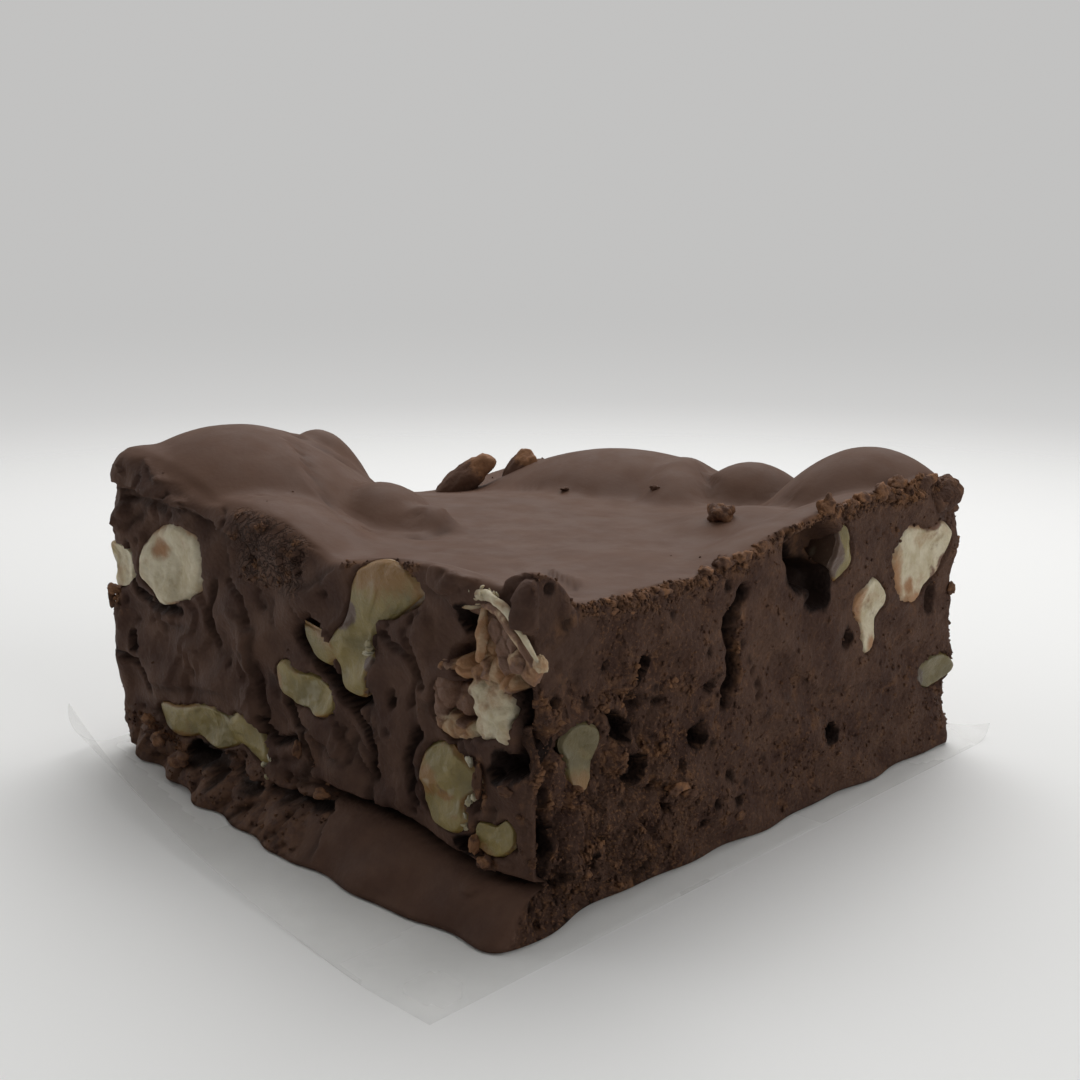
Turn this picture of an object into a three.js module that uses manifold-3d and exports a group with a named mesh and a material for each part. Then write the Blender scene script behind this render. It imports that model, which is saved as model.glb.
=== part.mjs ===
// A slab of rocky road fudge: chocolate fudge with walnuts and marshmallows cut through at its four sides,
// lying on a slip of wax paper. Millimetres, +Z up. The origin is on the surface that the paper lies on, under
// the middle of the slab. The slab's smooth cut side faces -Y (south) and its crumbly cut side +X (east).
import * as THREE from "three";
import { mergeVertices } from "three/addons/utils/BufferGeometryUtils.js";
import Module from "manifold-3d";

const wasm = await Module();
wasm.setup();

// Driving dimensions of the slab and of the paper under it.
const SLAB_WIDTH = 74; // X
const SLAB_DEPTH = 76; // Y
const BASIN_HEIGHT = 30.6; // height of the low, level middle of the top
const PAPER_THICKNESS = 0.25;
const PAPER = { left: -41, right: 40.6, front: -54.6, back: 44 };
const SLANT = { from: 32, depth: 6.6 }; // the front edge's slant starts at this x and goes back this far

// The paper's curls: a point on the fold line, the way the paper rises past it in degrees, and their radius.
const CURLS = {
  front: { x: -37, y: -38.8, towards: 257, radius: 5.6 },
  back: { x: 38, y: 41.2, towards: 62, radius: 3.4 },
};

// Fits between the pieces.
const POCKET_GAP = 0.3; // free space round a nut or marshmallow in its pocket
const CUT_PROUD = 0.25; // how far a cut nut or marshmallow stands out of the fudge

// Grid steps of the faceted surfaces, as numbers of cells.
const SLAB_CELLS = { x: 26, y: 26, z: 12 };
const CUT_CELLS = { x: 8, y: 8, z: 3 };
const LUMP_CELLS = { round: 4, deep: 2 };
const BRANCHED_CELLS = { round: 6, deep: 2 };
const PAPER_CELLS = { columns: { level: 12, right: 2 }, rows: { front: 4, level: 3, back: 2 } };
const KNOB_CELLS = 3;
const SIDE_ROWS = [[0, 0], [4, 0.2], [5, 0.25], [12, 1]]; // shares of the height that the rows stand at
const LOBE_SHARPNESS = 3; // lobes of a lump blend over a shorter stretch where this is larger

// Edge rounding of the slab, and how its sides stand.
const EDGE_RADIUS = 1;
const SUNK = 2; // the slab's rounded underside starts this far below the paper, and is cut off level
const WEST_BULGE = { reach: 1.9, height: 13, spread: 7.5 };
const UNDERCUT = { west: 1, north: 0.8, height: 4 }; // how far the feet of these sides draw in
const EAST_UNDERCUT = { reach: 1.2, middle: -24, spread: 10, flare: 0.6 }; // in at the front, out at the back
const NORTH_NECK = { reach: 1.7, from: 12, to: 25 }; // the north side's east end draws in towards its top

// The wavy top: each mound falls by its drop at the edge of its ellipse of half-widths rx and ry.
const MOUND_BLEND = 0.5; // softness of the creases between the mounds
const MOUNDS = {
  leftHill: { x: -28.5, y: -25, rx: 15, ry: 13, turn: -20, crest: 41.2, drop: 4.5 },
  leftShoulder: { x: -33, y: -35, rx: 12, ry: 9, turn: 0, crest: 39.2, drop: 3 },
  leftApron: { x: -13, y: -33, rx: 17, ry: 10, turn: -18, crest: 35.8, drop: 3 },
  westHump: { x: -28.6, y: -12.2, rx: 6.6, ry: 5.5, turn: -20, crest: 39.3, drop: 4.4 },
  westKnuckle: { x: -33, y: -9, rx: 5, ry: 4, turn: 0, crest: 38.2, drop: 4.4 },
  lowMound: { x: -10, y: -17, rx: 8.5, ry: 6.5, turn: -25, crest: 35.3, drop: 3.4 },
  lowMoundToe: { x: -2, y: -17, rx: 5, ry: 4.5, turn: 0, crest: 33.6, drop: 2.6 },
  backHill: { x: -9, y: 27, rx: 15, ry: 11, turn: 10, crest: 34.1, drop: 3 },
  backRidge: { x: 1, y: 27, rx: 4, ry: 10, turn: 30, crest: 34.1, drop: 2.2 },
  backBump: { x: 10, y: 31, rx: 6, ry: 6, turn: 0, crest: 34.2, drop: 2.4 },
  eastDome: { x: 29.2, y: 29, rx: 8.2, ry: 9, turn: 0, crest: 38.8, drop: 3.6 },
  eastRim: { x: 36, y: 18, rx: 8, ry: 24, turn: 0, crest: 35.3, drop: 2.6 },
  eastSlope: { x: 26, y: 12, rx: 12, ry: 12, turn: 0, crest: 32.8, drop: 2.2 },
  frontRim: { x: 24, y: -37.5, rx: 19, ry: 5, turn: 0, crest: 34.4, drop: 3 },
  frontPeak: { x: 36, y: -37.5, rx: 5, ry: 5, turn: 0, crest: 36, drop: 3.4 },
};
const BASIN_SLOPE = { x: 0.012, y: -0.035 }; // the basin falls gently away from the front corner
const BACK_CORNER_DROP = { x: -37, y: 14, radius: 16, depth: 3.2 };

// The foot of the south side flares out: rough lumps on the left, a smeared tongue under a crack on the right.
const FOOT = { middle: 14, halfLength: 46, reach: 5.8, roughHeight: 6.4, lump: 0.5, lumpWave: 8.5 };
const TONGUE = { from: 0, blend: 7, height: 6.4, end: 38.2, endRadius: 4, crackDepth: 1.2, crackWidth: 1.2 };

// Crossing waves that make the sides uneven: amplitude, and wavelength along x, y and z.
const CRAG_WAVES = [
  { size: 0.3, x: 17, y: 19, z: 13, shift: 0.4 },
  { size: 0.22, x: -9.5, y: 11, z: 7.7, shift: 2.1 },
];

// Each side has its own axes: along (to the right, seen from outside), up, and out of the side.
const SIDES = {
  south: { along: [1, 0, 0], out: [0, -1, 0], wall: SLAB_DEPTH / 2 },
  east: { along: [0, 1, 0], out: [1, 0, 0], wall: SLAB_WIDTH / 2 },
  north: { along: [-1, 0, 0], out: [0, 1, 0], wall: SLAB_DEPTH / 2 },
  west: { along: [0, -1, 0], out: [-1, 0, 0], wall: SLAB_WIDTH / 2 },
};

// A lump is a side, then its lobes. A lobe is half an ellipsoid that the cut laid open: [along, up,
// half-length, half-height, depth, turn in degrees] in its side's plane. The first holds the lump's own middle.
const WALNUTS = {
  walnut_south_upper: ["south", [10.4, 23.4, 3.4, 3, 4.5, -20], [15.4, 30.6, 5.8, 2.9, 4.6, 8],
    [11.6, 27, 2.4, 3, 4, -20], [4.6, 23, 3.4, 1.7, 3, -42], [10.4, 20.2, 2.2, 2, 3.6, 0]],
  walnut_south_lower: ["south", [3.4, 16.6, 3.9, 2.1, 4.2, -10], [-0.6, 17.4, 2.8, 1.9, 3, -35]],
  walnut_south_long: ["south", [-16.6, 8, 6.6, 2.4, 4.4, 4], [-24.4, 7.2, 4.6, 1.8, 3.6, 2],
    [-8.6, 8.9, 4.2, 1.8, 3.6, -26]],
  walnut_south_corner: ["south", [24.4, 13.6, 3.9, 3.1, 4.4, 0], [24.6, 9.8, 3.4, 2, 4, -12]],
  walnut_south_small: ["south", [31.6, 8.6, 2.9, 1.8, 3.4, 30]],
  walnut_east_front: ["east", [-31.9, 18.4, 2, 2.1, 3.2, 0], [-31.4, 15.6, 1.5, 1.9, 3, -4]],
  walnut_east_hollow: ["east", [11.4, 29.8, 1.7, 3.4, 5.6, -6]],
  walnut_east_far: ["east", [34.4, 10.2, 3.6, 2.2, 4, 0]],
  walnut_north_upper: ["north", [-17, 24.6, 4.6, 2.6, 4.6, 24], [-12.6, 22.4, 2.8, 2.2, 3.8, 0]],
  walnut_north_middle: ["north", [9, 16, 3.2, 4, 4.2, 14], [12.2, 13, 2.4, 2, 3.4, 0]],
  walnut_west_upper: ["west", [6, 23, 4.2, 2.4, 4.2, 30], [9.6, 20.6, 2.4, 2.2, 3.6, 0]],
  walnut_west_lower: ["west", [18, 8.6, 4.8, 2.1, 4, 6], [22.6, 10.4, 2.2, 1.7, 3, 0]],
};
const MARSHMALLOWS = {
  marshmallow_south_left: ["south", [-23.4, 26.6, 7.4, 4.9, 5, 12]],
  marshmallow_south_edge: ["west", [35.6, 24.6, 5, 3.2, 5.4, 0]],
  marshmallow_south_corner: ["south", [30, 21.8, 4.2, 2.9, 4.4, 20], [25.8, 20.4, 2.2, 2.2, 3.4, 0],
    [30, 28.4, 2, 4.8, 3.2, 0], [33.4, 26, 1.7, 2.2, 3, 0]],
  marshmallow_east_upper: ["east", [27.2, 25.6, 4.4, 4.9, 4.6, 0], [32.4, 26.6, 3, 3.8, 4, 0]],
  marshmallow_east_drop: ["east", [17.8, 22.6, 3, 2.7, 3.2, 0], [18, 18.8, 1.8, 2.3, 2.4, 0]],
  marshmallow_north_upper: ["north", [22, 24, 5.6, 4.6, 5, 20]],
  marshmallow_north_lower: ["north", [-4.5, 9.5, 4.8, 4.2, 4.8, 0]],
  marshmallow_west_upper: ["west", [-23, 19.4, 5.2, 4, 4.8, -10]],
  marshmallow_west_lower: ["west", [2.5, 9.5, 4.4, 3.8, 4.4, 0]],
};

// The skin of the torn marshmallow at the front corner, pulled out into a hood over it: points along its middle
// on the south side's axes (along, up, out), and its half-thickness.
const TORN_MARSHMALLOW = "marshmallow_south_corner";
const STRAND = {
  path: [[26.6, 31.6, 0], [29.8, 32.6, 0.4], [33.4, 32.6, 0.9], [36.4, 30.8, 1.1], [38.5, 28.2, 0.6]],
  radius: 0.95,
  cells: 7,
};

// Lumps of fudge that stand on the slab: the middle, then half-sizes along x, y and z.
const KNOBS = [
  { x: -30.4, y: 20, z: 28.4, size: [3.4, 2.8, 3.2] },
  { x: -23.6, y: 23, z: 30, size: [3.4, 2.4, 2.7] },
  { x: 35.6, y: 32.6, z: 33.4, size: [3, 3.6, 2.6] },
];

// Hollows in the sides, with the lobes of a lump.
const PITS = [
  ["east", [4.6, 30.8, 4.9, 4.3, 5.2, 0]],
  ["east", [-9.2, 22.2, 0.9, 3.6, 1.8, 0]],
  ["east", [-25.6, 17.9, 1.4, 1.2, 2, -30]],
  ["south", [35.2, 19.6, 1, 2.8, 2.4, 0]],
  ["south", [-18.6, 4.6, 2.6, 0.9, 2.4, 0]],
];

const COLOURS = {
  fudge: { color: 0x3c2a22, roughness: 0.55 },
  walnut: { color: 0x9a8c5e, roughness: 0.5 },
  marshmallow: { color: 0xd9d0b4, roughness: 0.8 },
  paper: { color: 0xf1f0ec, roughness: 0.6 },
};

function material(kind) {
  return new THREE.MeshStandardMaterial({ ...COLOURS[kind], metalness: 0 });
}

// 0 below low, 1 above high, and a smooth step between.
function step(low, high, value) {
  return THREE.MathUtils.smoothstep(value, low, high);
}

// Value at a cell number, read evenly between stops of [cell, value].
function between(stops, cell) {
  const next = stops.findIndex(([at]) => cell <= at + 1e-6);
  const [toCell, to] = stops[Math.max(next, 1)];
  const [fromCell, from] = stops[Math.max(next, 1) - 1];
  return from + ((cell - fromCell) / (toCell - fromCell)) * (to - from);
}

// A soft maximum: equal values blend into a crease of width blend.
function softMax(values, blend) {
  const most = Math.max(...values);
  return most + blend * Math.log(values.reduce((sum, value) => sum + Math.exp((value - most) / blend), 0));
}

// The square of how far (x, y) lies out from an ellipse's middle, where 1 is on the ellipse.
function ellipseReach(x, y, { x: cx, y: cy, rx, ry, turn }) {
  const angle = THREE.MathUtils.degToRad(turn);
  const dx = x - cx;
  const dy = y - cy;
  const along = (dx * Math.cos(angle) + dy * Math.sin(angle)) / rx;
  const across = (dy * Math.cos(angle) - dx * Math.sin(angle)) / ry;
  return along * along + across * across;
}

// Height of the slab's top at (x, y): the basin, joined softly with every mound.
function topHeight(x, y) {
  const dropped = BACK_CORNER_DROP;
  const fromDrop = Math.hypot(x - dropped.x, y - dropped.y) / dropped.radius;
  const basin = BASIN_HEIGHT + BASIN_SLOPE.x * x + BASIN_SLOPE.y * y
    - dropped.depth * Math.exp(-fromDrop * fromDrop);
  const mounds = Object.values(MOUNDS).map((mound) => mound.crest - mound.drop * ellipseReach(x, y, mound));
  return softMax([basin, ...mounds], MOUND_BLEND);
}

// How far the foot of the south side stands out at (x, z): a flare that is longest in the middle. On the left
// it thins upwards with lumps along it, and on the right it is a rolled tongue with a crack above it.
function footReach(x, z) {
  const along = (x - FOOT.middle) / FOOT.halfLength;
  const pastEnd = Math.max(0, (x - TONGUE.end + TONGUE.endRadius) / TONGUE.endRadius);
  const flare = FOOT.reach * Math.max(0, 1 - along * along) * Math.sqrt(Math.max(0, 1 - pastEnd * pastEnd));
  const tongue = step(TONGUE.from, TONGUE.from + TONGUE.blend, x);
  const lumps = FOOT.lump * Math.sin((2 * Math.PI * x) / FOOT.lumpWave);
  const rough = (flare + lumps) * (1 - step(0, FOOT.roughHeight, z));
  const rolled = flare * Math.sqrt(Math.max(0, 1 - (z / TONGUE.height) ** 2));
  const crackAt = (z - TONGUE.height - TONGUE.crackWidth) / TONGUE.crackWidth;
  const crack = TONGUE.crackDepth * Math.exp(-crackAt * crackAt);
  return (1 - tongue) * rough + tongue * (rolled - crack);
}

// Unevenness of the sides at a point: crossing waves.
function crags(p) {
  return CRAG_WAVES.reduce((sum, wave) => {
    const turns = p.x / wave.x + p.y / wave.y + p.z / wave.z;
    return sum + wave.size * Math.sin(2 * Math.PI * turns + wave.shift);
  }, 0);
}

// Moves a point of the upright cube from -1 to 1 onto the slab's surface. The box has rounded edges, its top
// follows the mounds and its foot flares. grow moves the sides out, and relief turns the crags and the foot on.
function slabPoint(p, grow, relief) {
  const half = new THREE.Vector3(SLAB_WIDTH / 2, SLAB_DEPTH / 2, BASIN_HEIGHT / 2);
  const rowShare = grow ? (p.z + 1) / 2 : between(SIDE_ROWS, ((p.z + 1) / 2) * SLAB_CELLS.z);
  const onBox = new THREE.Vector3(p.x, p.y, 2 * rowShare - 1).multiply(half);
  const inner = half.clone().subScalar(EDGE_RADIUS);
  const core = onBox.clone().clamp(inner.clone().negate(), inner);
  const out = onBox.clone().sub(core).normalize();
  const point = core.addScaledVector(out, EDGE_RADIUS);
  const share = (point.z + half.z) / BASIN_HEIGHT;
  point.z = share * (topHeight(point.x, point.y) + SUNK) - SUNK + out.z * grow;
  const bulgeAt = (point.z - WEST_BULGE.height) / WEST_BULGE.spread;
  const bulge = WEST_BULGE.reach * Math.max(0, -out.x) * Math.exp(-bulgeAt * bulgeAt);
  const eastAt = (point.y - EAST_UNDERCUT.middle) / EAST_UNDERCUT.spread;
  const eastUndercut = EAST_UNDERCUT.reach * Math.exp(-eastAt * eastAt)
    - EAST_UNDERCUT.flare * step(0, half.y, point.y);
  const atFoot = 1 - step(0, UNDERCUT.height, point.z);
  const undercut = Math.max(0, -out.x) * UNDERCUT.west + Math.max(0, out.x) * eastUndercut
    + Math.max(0, out.y) * UNDERCUT.north;
  let reach = grow + bulge - undercut * atFoot;
  if (relief) reach += crags(point);
  point.addScaledVector(new THREE.Vector3(out.x, out.y, 0), reach);
  const neck = NORTH_NECK.reach * step(0, half.x, point.x) * step(NORTH_NECK.from, NORTH_NECK.to, point.z);
  point.y -= Math.max(0, out.y) * neck;
  if (relief) point.y -= Math.max(0, -out.y) * footReach(point.x, point.z);
  return point;
}

// Moves each vertex of a geometry by a function and joins the vertices that meet.
function reshape(geometry, move) {
  geometry.deleteAttribute("normal");
  geometry.deleteAttribute("uv");
  const shape = mergeVertices(geometry, 1e-5);
  const position = shape.getAttribute("position");
  const p = new THREE.Vector3();
  for (let i = 0; i < position.count; i += 1) {
    const moved = move(p.fromBufferAttribute(position, i));
    position.setXYZ(i, moved.x, moved.y, moved.z);
  }
  return shape;
}

// A geometry as a solid that can be joined and cut.
function solidFrom(geometry) {
  const vertProperties = geometry.getAttribute("position").array;
  const triVerts = new Uint32Array(geometry.index.array);
  return new wasm.Manifold(new wasm.Mesh({ numProp: 3, vertProperties, triVerts }));
}

function meshFrom(name, solid, kind) {
  const { vertProperties, triVerts } = solid.getMesh();
  const geometry = new THREE.BufferGeometry();
  geometry.setAttribute("position", new THREE.BufferAttribute(vertProperties, 3));
  geometry.setIndex(new THREE.BufferAttribute(triVerts, 1));
  geometry.computeVertexNormals();
  const mesh = new THREE.Mesh(geometry, material(kind));
  mesh.name = name;
  return mesh;
}

function boxBetween(low, high) {
  const size = high.clone().sub(low);
  const middle = high.clone().add(low).multiplyScalar(0.5);
  const box = new THREE.BoxGeometry(size.x, size.y, size.z);
  return solidFrom(reshape(box, (p) => p.clone().add(middle)));
}

function slabSolid(cells, grow, relief) {
  const cube = new THREE.BoxGeometry(2, 2, 2, cells.x, cells.y, cells.z);
  return solidFrom(reshape(cube, (p) => slabPoint(p, grow, relief)));
}

// A point on a side's axes, as a point of the slab.
function onSide(side, { x: along, y: up, z: out }) {
  const axes = SIDES[side];
  return new THREE.Vector3(0, 0, up)
    .addScaledVector(new THREE.Vector3(...axes.along), along)
    .addScaledVector(new THREE.Vector3(...axes.out), axes.wall + out);
}

// The strength of a lump's lobes at a point: each is 1 on its own ellipsoid, and they add up.
function lobeField(lobes, at) {
  return lobes.reduce((sum, [along, up, length, height, depth, turn]) => {
    const reach = ellipseReach(at.x, at.y, { x: along, y: up, rx: length, ry: height, turn });
    return sum + Math.exp(LOBE_SHARPNESS * (1 - reach - (at.z / depth) ** 2));
  }, 0);
}

// A lump's surface is where the lobes' field is 1, found along each ray from the first lobe's middle.
function lumpSolid([side, ...lobes], grow) {
  const [[along, up]] = lobes;
  const start = new THREE.Vector3(along, up, 0);
  const cells = lobes.length > 2 ? BRANCHED_CELLS : LUMP_CELLS;
  const cube = new THREE.BoxGeometry(2, 2, 2, cells.round, cells.round, cells.deep);
  return solidFrom(reshape(cube, (p) => {
    const ray = p.clone().normalize();
    let near = 0;
    let far = SLAB_WIDTH / 2;
    for (let i = 0; i < 30; i += 1) {
      const half = (near + far) / 2;
      if (lobeField(lobes, start.clone().addScaledVector(ray, half)) > 1) near = half;
      else far = half;
    }
    return onSide(side, start.clone().addScaledVector(ray, near + grow));
  }));
}

// The strand: a six-sided tube along its path that thins to both ends.
function strandSolid(grow) {
  const path = new THREE.CatmullRomCurve3(STRAND.path.map(([x, y, z]) => onSide("south", { x, y, z })));
  const box = new THREE.BoxGeometry(2, 2, 2, 1, 2, STRAND.cells);
  const side = new THREE.Vector3(0, -1, 0);
  return solidFrom(reshape(box, (p) => {
    const share = (p.z + 1) / 2;
    const tangent = path.getTangent(share);
    const across = new THREE.Vector3().crossVectors(tangent, side).normalize();
    const ring = new THREE.Vector2(p.x, p.y).normalize();
    const radius = STRAND.radius * (0.55 + 0.45 * Math.sin(Math.PI * share)) + grow;
    return path.getPoint(share)
      .addScaledVector(tangent, p.z * grow)
      .addScaledVector(side, ring.x * radius)
      .addScaledVector(across, ring.y * radius);
  }));
}

// A rounded knob of fudge: an ellipsoid.
function knobSolid({ x, y, z, size }) {
  const cube = new THREE.BoxGeometry(2, 2, 2, KNOB_CELLS, KNOB_CELLS, KNOB_CELLS);
  const middle = new THREE.Vector3(x, y, z);
  return solidFrom(reshape(cube, (p) => p.clone().normalize().multiply(new THREE.Vector3(...size)).add(middle)));
}

// How far a point lies past a curl's fold line, along the way that the paper rises.
function pastFold(curl, x, y) {
  const angle = THREE.MathUtils.degToRad(curl.towards);
  return (x - curl.x) * Math.cos(angle) + (y - curl.y) * Math.sin(angle);
}

// The slip of wax paper: level under the slab, with its grid lines along the fold lines. Its front edge is cut
// at a slant towards the left, and past a fold line there it curls up, as its far right corner does a little.
function paperSolid() {
  const { columns, rows } = PAPER_CELLS;
  const last = { column: columns.level + columns.right, row: rows.front + rows.level + rows.back };
  const sheet = new THREE.BoxGeometry(last.column, last.row, 1, last.column, last.row, 1);
  return solidFrom(reshape(sheet, (p) => {
    const x = between(
      [[0, PAPER.left], [columns.level, CURLS.back.x], [last.column, PAPER.right]],
      p.x + last.column / 2,
    );
    const slant = Math.max(0, (SLANT.from - x) / (SLANT.from - PAPER.left));
    const front = PAPER.front + SLANT.depth * slant;
    const angle = THREE.MathUtils.degToRad(CURLS.front.towards);
    const fold = CURLS.front.y - ((x - CURLS.front.x) * Math.cos(angle)) / Math.sin(angle);
    const y = between(
      [
        [0, front],
        [rows.front, Math.max(fold, front + 1)],
        [rows.front + rows.level, CURLS.back.y],
        [last.row, PAPER.back],
      ],
      p.y + last.row / 2,
    );
    const point = new THREE.Vector3(x, y, 0);
    const up = new THREE.Vector3(0, 0, 1);
    Object.values(CURLS).forEach((curl) => {
      const past = pastFold(curl, x, y);
      if (past <= 0) return;
      const tilt = past / curl.radius;
      const direction = new THREE.Vector3(1, 0, 0).applyAxisAngle(up, THREE.MathUtils.degToRad(curl.towards));
      point.addScaledVector(direction, curl.radius * Math.sin(tilt) - past);
      point.z = curl.radius * (1 - Math.cos(tilt));
      up.multiplyScalar(Math.cos(tilt)).addScaledVector(direction, -Math.sin(tilt));
    });
    return point.addScaledVector(up, (p.z + 0.5) * PAPER_THICKNESS);
  }));
}

function build() {
  const group = new THREE.Group();
  const far = 2 * SLAB_DEPTH;
  const belowTop = new THREE.Vector3(far, far, PAPER_THICKNESS);
  const belowPaper = boxBetween(new THREE.Vector3(-far, -far, -far), belowTop);
  const cutSides = slabSolid(CUT_CELLS, CUT_PROUD, false).subtract(belowPaper);
  const pieces = [
    ...Object.entries(WALNUTS).map(([name, lump]) => ({ name, lump, kind: "walnut" })),
    ...Object.entries(MARSHMALLOWS).map(([name, lump]) => ({ name, lump, kind: "marshmallow" })),
  ];
  let fudge = slabSolid(SLAB_CELLS, 0, true);
  KNOBS.forEach((knob) => {
    fudge = fudge.add(knobSolid(knob));
  });
  PITS.forEach((pit) => {
    fudge = fudge.subtract(lumpSolid(pit, 0));
  });
  pieces.forEach(({ name, lump, kind }) => {
    let piece = lumpSolid(lump, 0).intersect(cutSides);
    fudge = fudge.subtract(lumpSolid(lump, POCKET_GAP));
    if (name === TORN_MARSHMALLOW) {
      piece = piece.add(strandSolid(0));
      fudge = fudge.subtract(strandSolid(POCKET_GAP));
    }
    group.add(meshFrom(name, piece, kind));
  });
  group.add(meshFrom("fudge", fudge.subtract(belowPaper), "fudge"));
  group.add(meshFrom("wax_paper", paperSolid(), "paper"));
  return group;
}

export default build();
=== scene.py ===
"""A slab of rocky road fudge: chocolate with cut walnuts and torn marshmallows, on a slip of wax paper.

Shapes are worked out in millimetres with numpy, as surfaces of two parameters, and put into meshes in
metres. A side of the slab has its own axes: along (to the right, seen from outside), up, and out of it.
"""
import math

import bpy
import numpy as np
from bpy.props import FloatProperty, FloatVectorProperty, IntProperty, PointerProperty
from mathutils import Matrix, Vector


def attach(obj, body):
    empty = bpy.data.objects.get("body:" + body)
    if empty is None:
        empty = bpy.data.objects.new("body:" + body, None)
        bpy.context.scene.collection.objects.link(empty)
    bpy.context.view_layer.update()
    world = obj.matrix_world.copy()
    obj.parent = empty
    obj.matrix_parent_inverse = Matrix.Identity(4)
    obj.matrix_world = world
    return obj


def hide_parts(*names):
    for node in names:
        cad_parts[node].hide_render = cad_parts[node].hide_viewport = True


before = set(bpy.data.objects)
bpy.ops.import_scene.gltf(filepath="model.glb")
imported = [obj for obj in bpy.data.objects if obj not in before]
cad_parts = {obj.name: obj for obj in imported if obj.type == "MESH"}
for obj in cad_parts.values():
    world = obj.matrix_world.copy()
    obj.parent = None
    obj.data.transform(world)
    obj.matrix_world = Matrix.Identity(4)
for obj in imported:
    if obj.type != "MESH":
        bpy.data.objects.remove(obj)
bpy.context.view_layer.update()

bl_info = {
    "name": "Rocky Road Fudge",
    "version": (1, 0, 0),
    "blender": (4, 5, 0),
    "location": "3D View > Sidebar > Fudge",
    "description": "Builds a slab of rocky road fudge on wax paper, with its stage",
    "category": "Object",
}

# ---- Sizes, in millimetres ----

HALF = np.array([37.0, 38.0, 15.3])  # half the slab's width, depth and basin height
BASIN_HEIGHT = 30.6
FLOOR = 0.25  # the slab's underside, on top of the paper
WEST_BULGE = (1.9, 13, 7.5)  # reach, middle height, spread
UNDERCUT = {"west": 1, "north": 0.8, "height": 4}
EAST_UNDERCUT = (1.2, -24, 10, 0.6)  # reach, middle, spread, flare towards the back
NORTH_NECK = (1.7, 12, 25)  # reach, and the heights between which it grows
CRAG_WAVES = [(0.3, 17, 19, 13, 0.4), (0.22, -9.5, 11, 7.7, 2.1)]  # size, lengths in x, y and z, shift
BASIN_SLOPE = (0.012, -0.035)
BACK_CORNER_DROP = (-37, 14, 16, 3.2)  # middle x and y, radius, depth
MOUND_BLEND = 0.28
MOUNDS = [  # middle x and y, half-widths, turn in degrees, crest height, drop at the ellipse
    (-28.5, -25, 15, 13, -20, 41.2, 4.5), (-33, -35, 12, 9, 0, 39.2, 3), (-13, -33, 17, 10, -18, 35.8, 3),
    (-28.6, -12.2, 6.6, 5.5, -20, 39.3, 4.4), (-33, -9, 5, 4, 0, 38.2, 4.4),
    (-10, -17, 8.5, 6.5, -25, 35.3, 3.4), (-2, -17, 5, 4.5, 0, 33.6, 2.6), (-9, 27, 15, 11, 10, 34.1, 3),
    (1, 27, 4, 10, 30, 34.1, 2.2), (10, 31, 6, 6, 0, 34.2, 2.4), (29.2, 29, 8.2, 9, 0, 38.8, 3.6),
    (36, 18, 8, 24, 0, 35.3, 2.6), (26, 12, 12, 12, 0, 32.8, 2.2), (24, -37.5, 19, 5, 0, 34.4, 3),
    (36, -37.5, 5, 5, 0, 36, 3.4),
]
FOOT = (14, 46, 5.8, 6.4, 0.5, 8.5)  # middle, half-length, reach, rough height, lumps, their length
TONGUE = {
    "blend": 7, "high": 6.4, "low": 4.9, "falls": (12, 31), "end": 38.2, "end_radius": 4, "crack": 2.6,
    "crack_width": 0.42,
}
TOP_RINGS = (9, 15, 14, 10)  # rings on the top between the places where their number of points halves
# deep is the mask of painted shade: how much near-black is mixed into the chocolate.
SLAB_MASKS = ("crumble", "rust", "glaze", "crackle", "deep")
LUMP_GRID = (60, 120)  # rows and columns of a cut nut or marshmallow
HALVINGS = 20  # how often the distance to a lump's surface is halved
TORN_GRID = (128, 150)  # columns and rows of the torn marshmallow
TORN_BLEND = 0.25  # how wide the creases between its lumps are rounded
TORN_THREADS = 12  # fine threads along its top edge
SMOOTH_KNOBS = 2  # how many of the knobs have the top's smooth skin
PAPER_GRID = (131, 161)  # columns and rows of the paper

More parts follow.
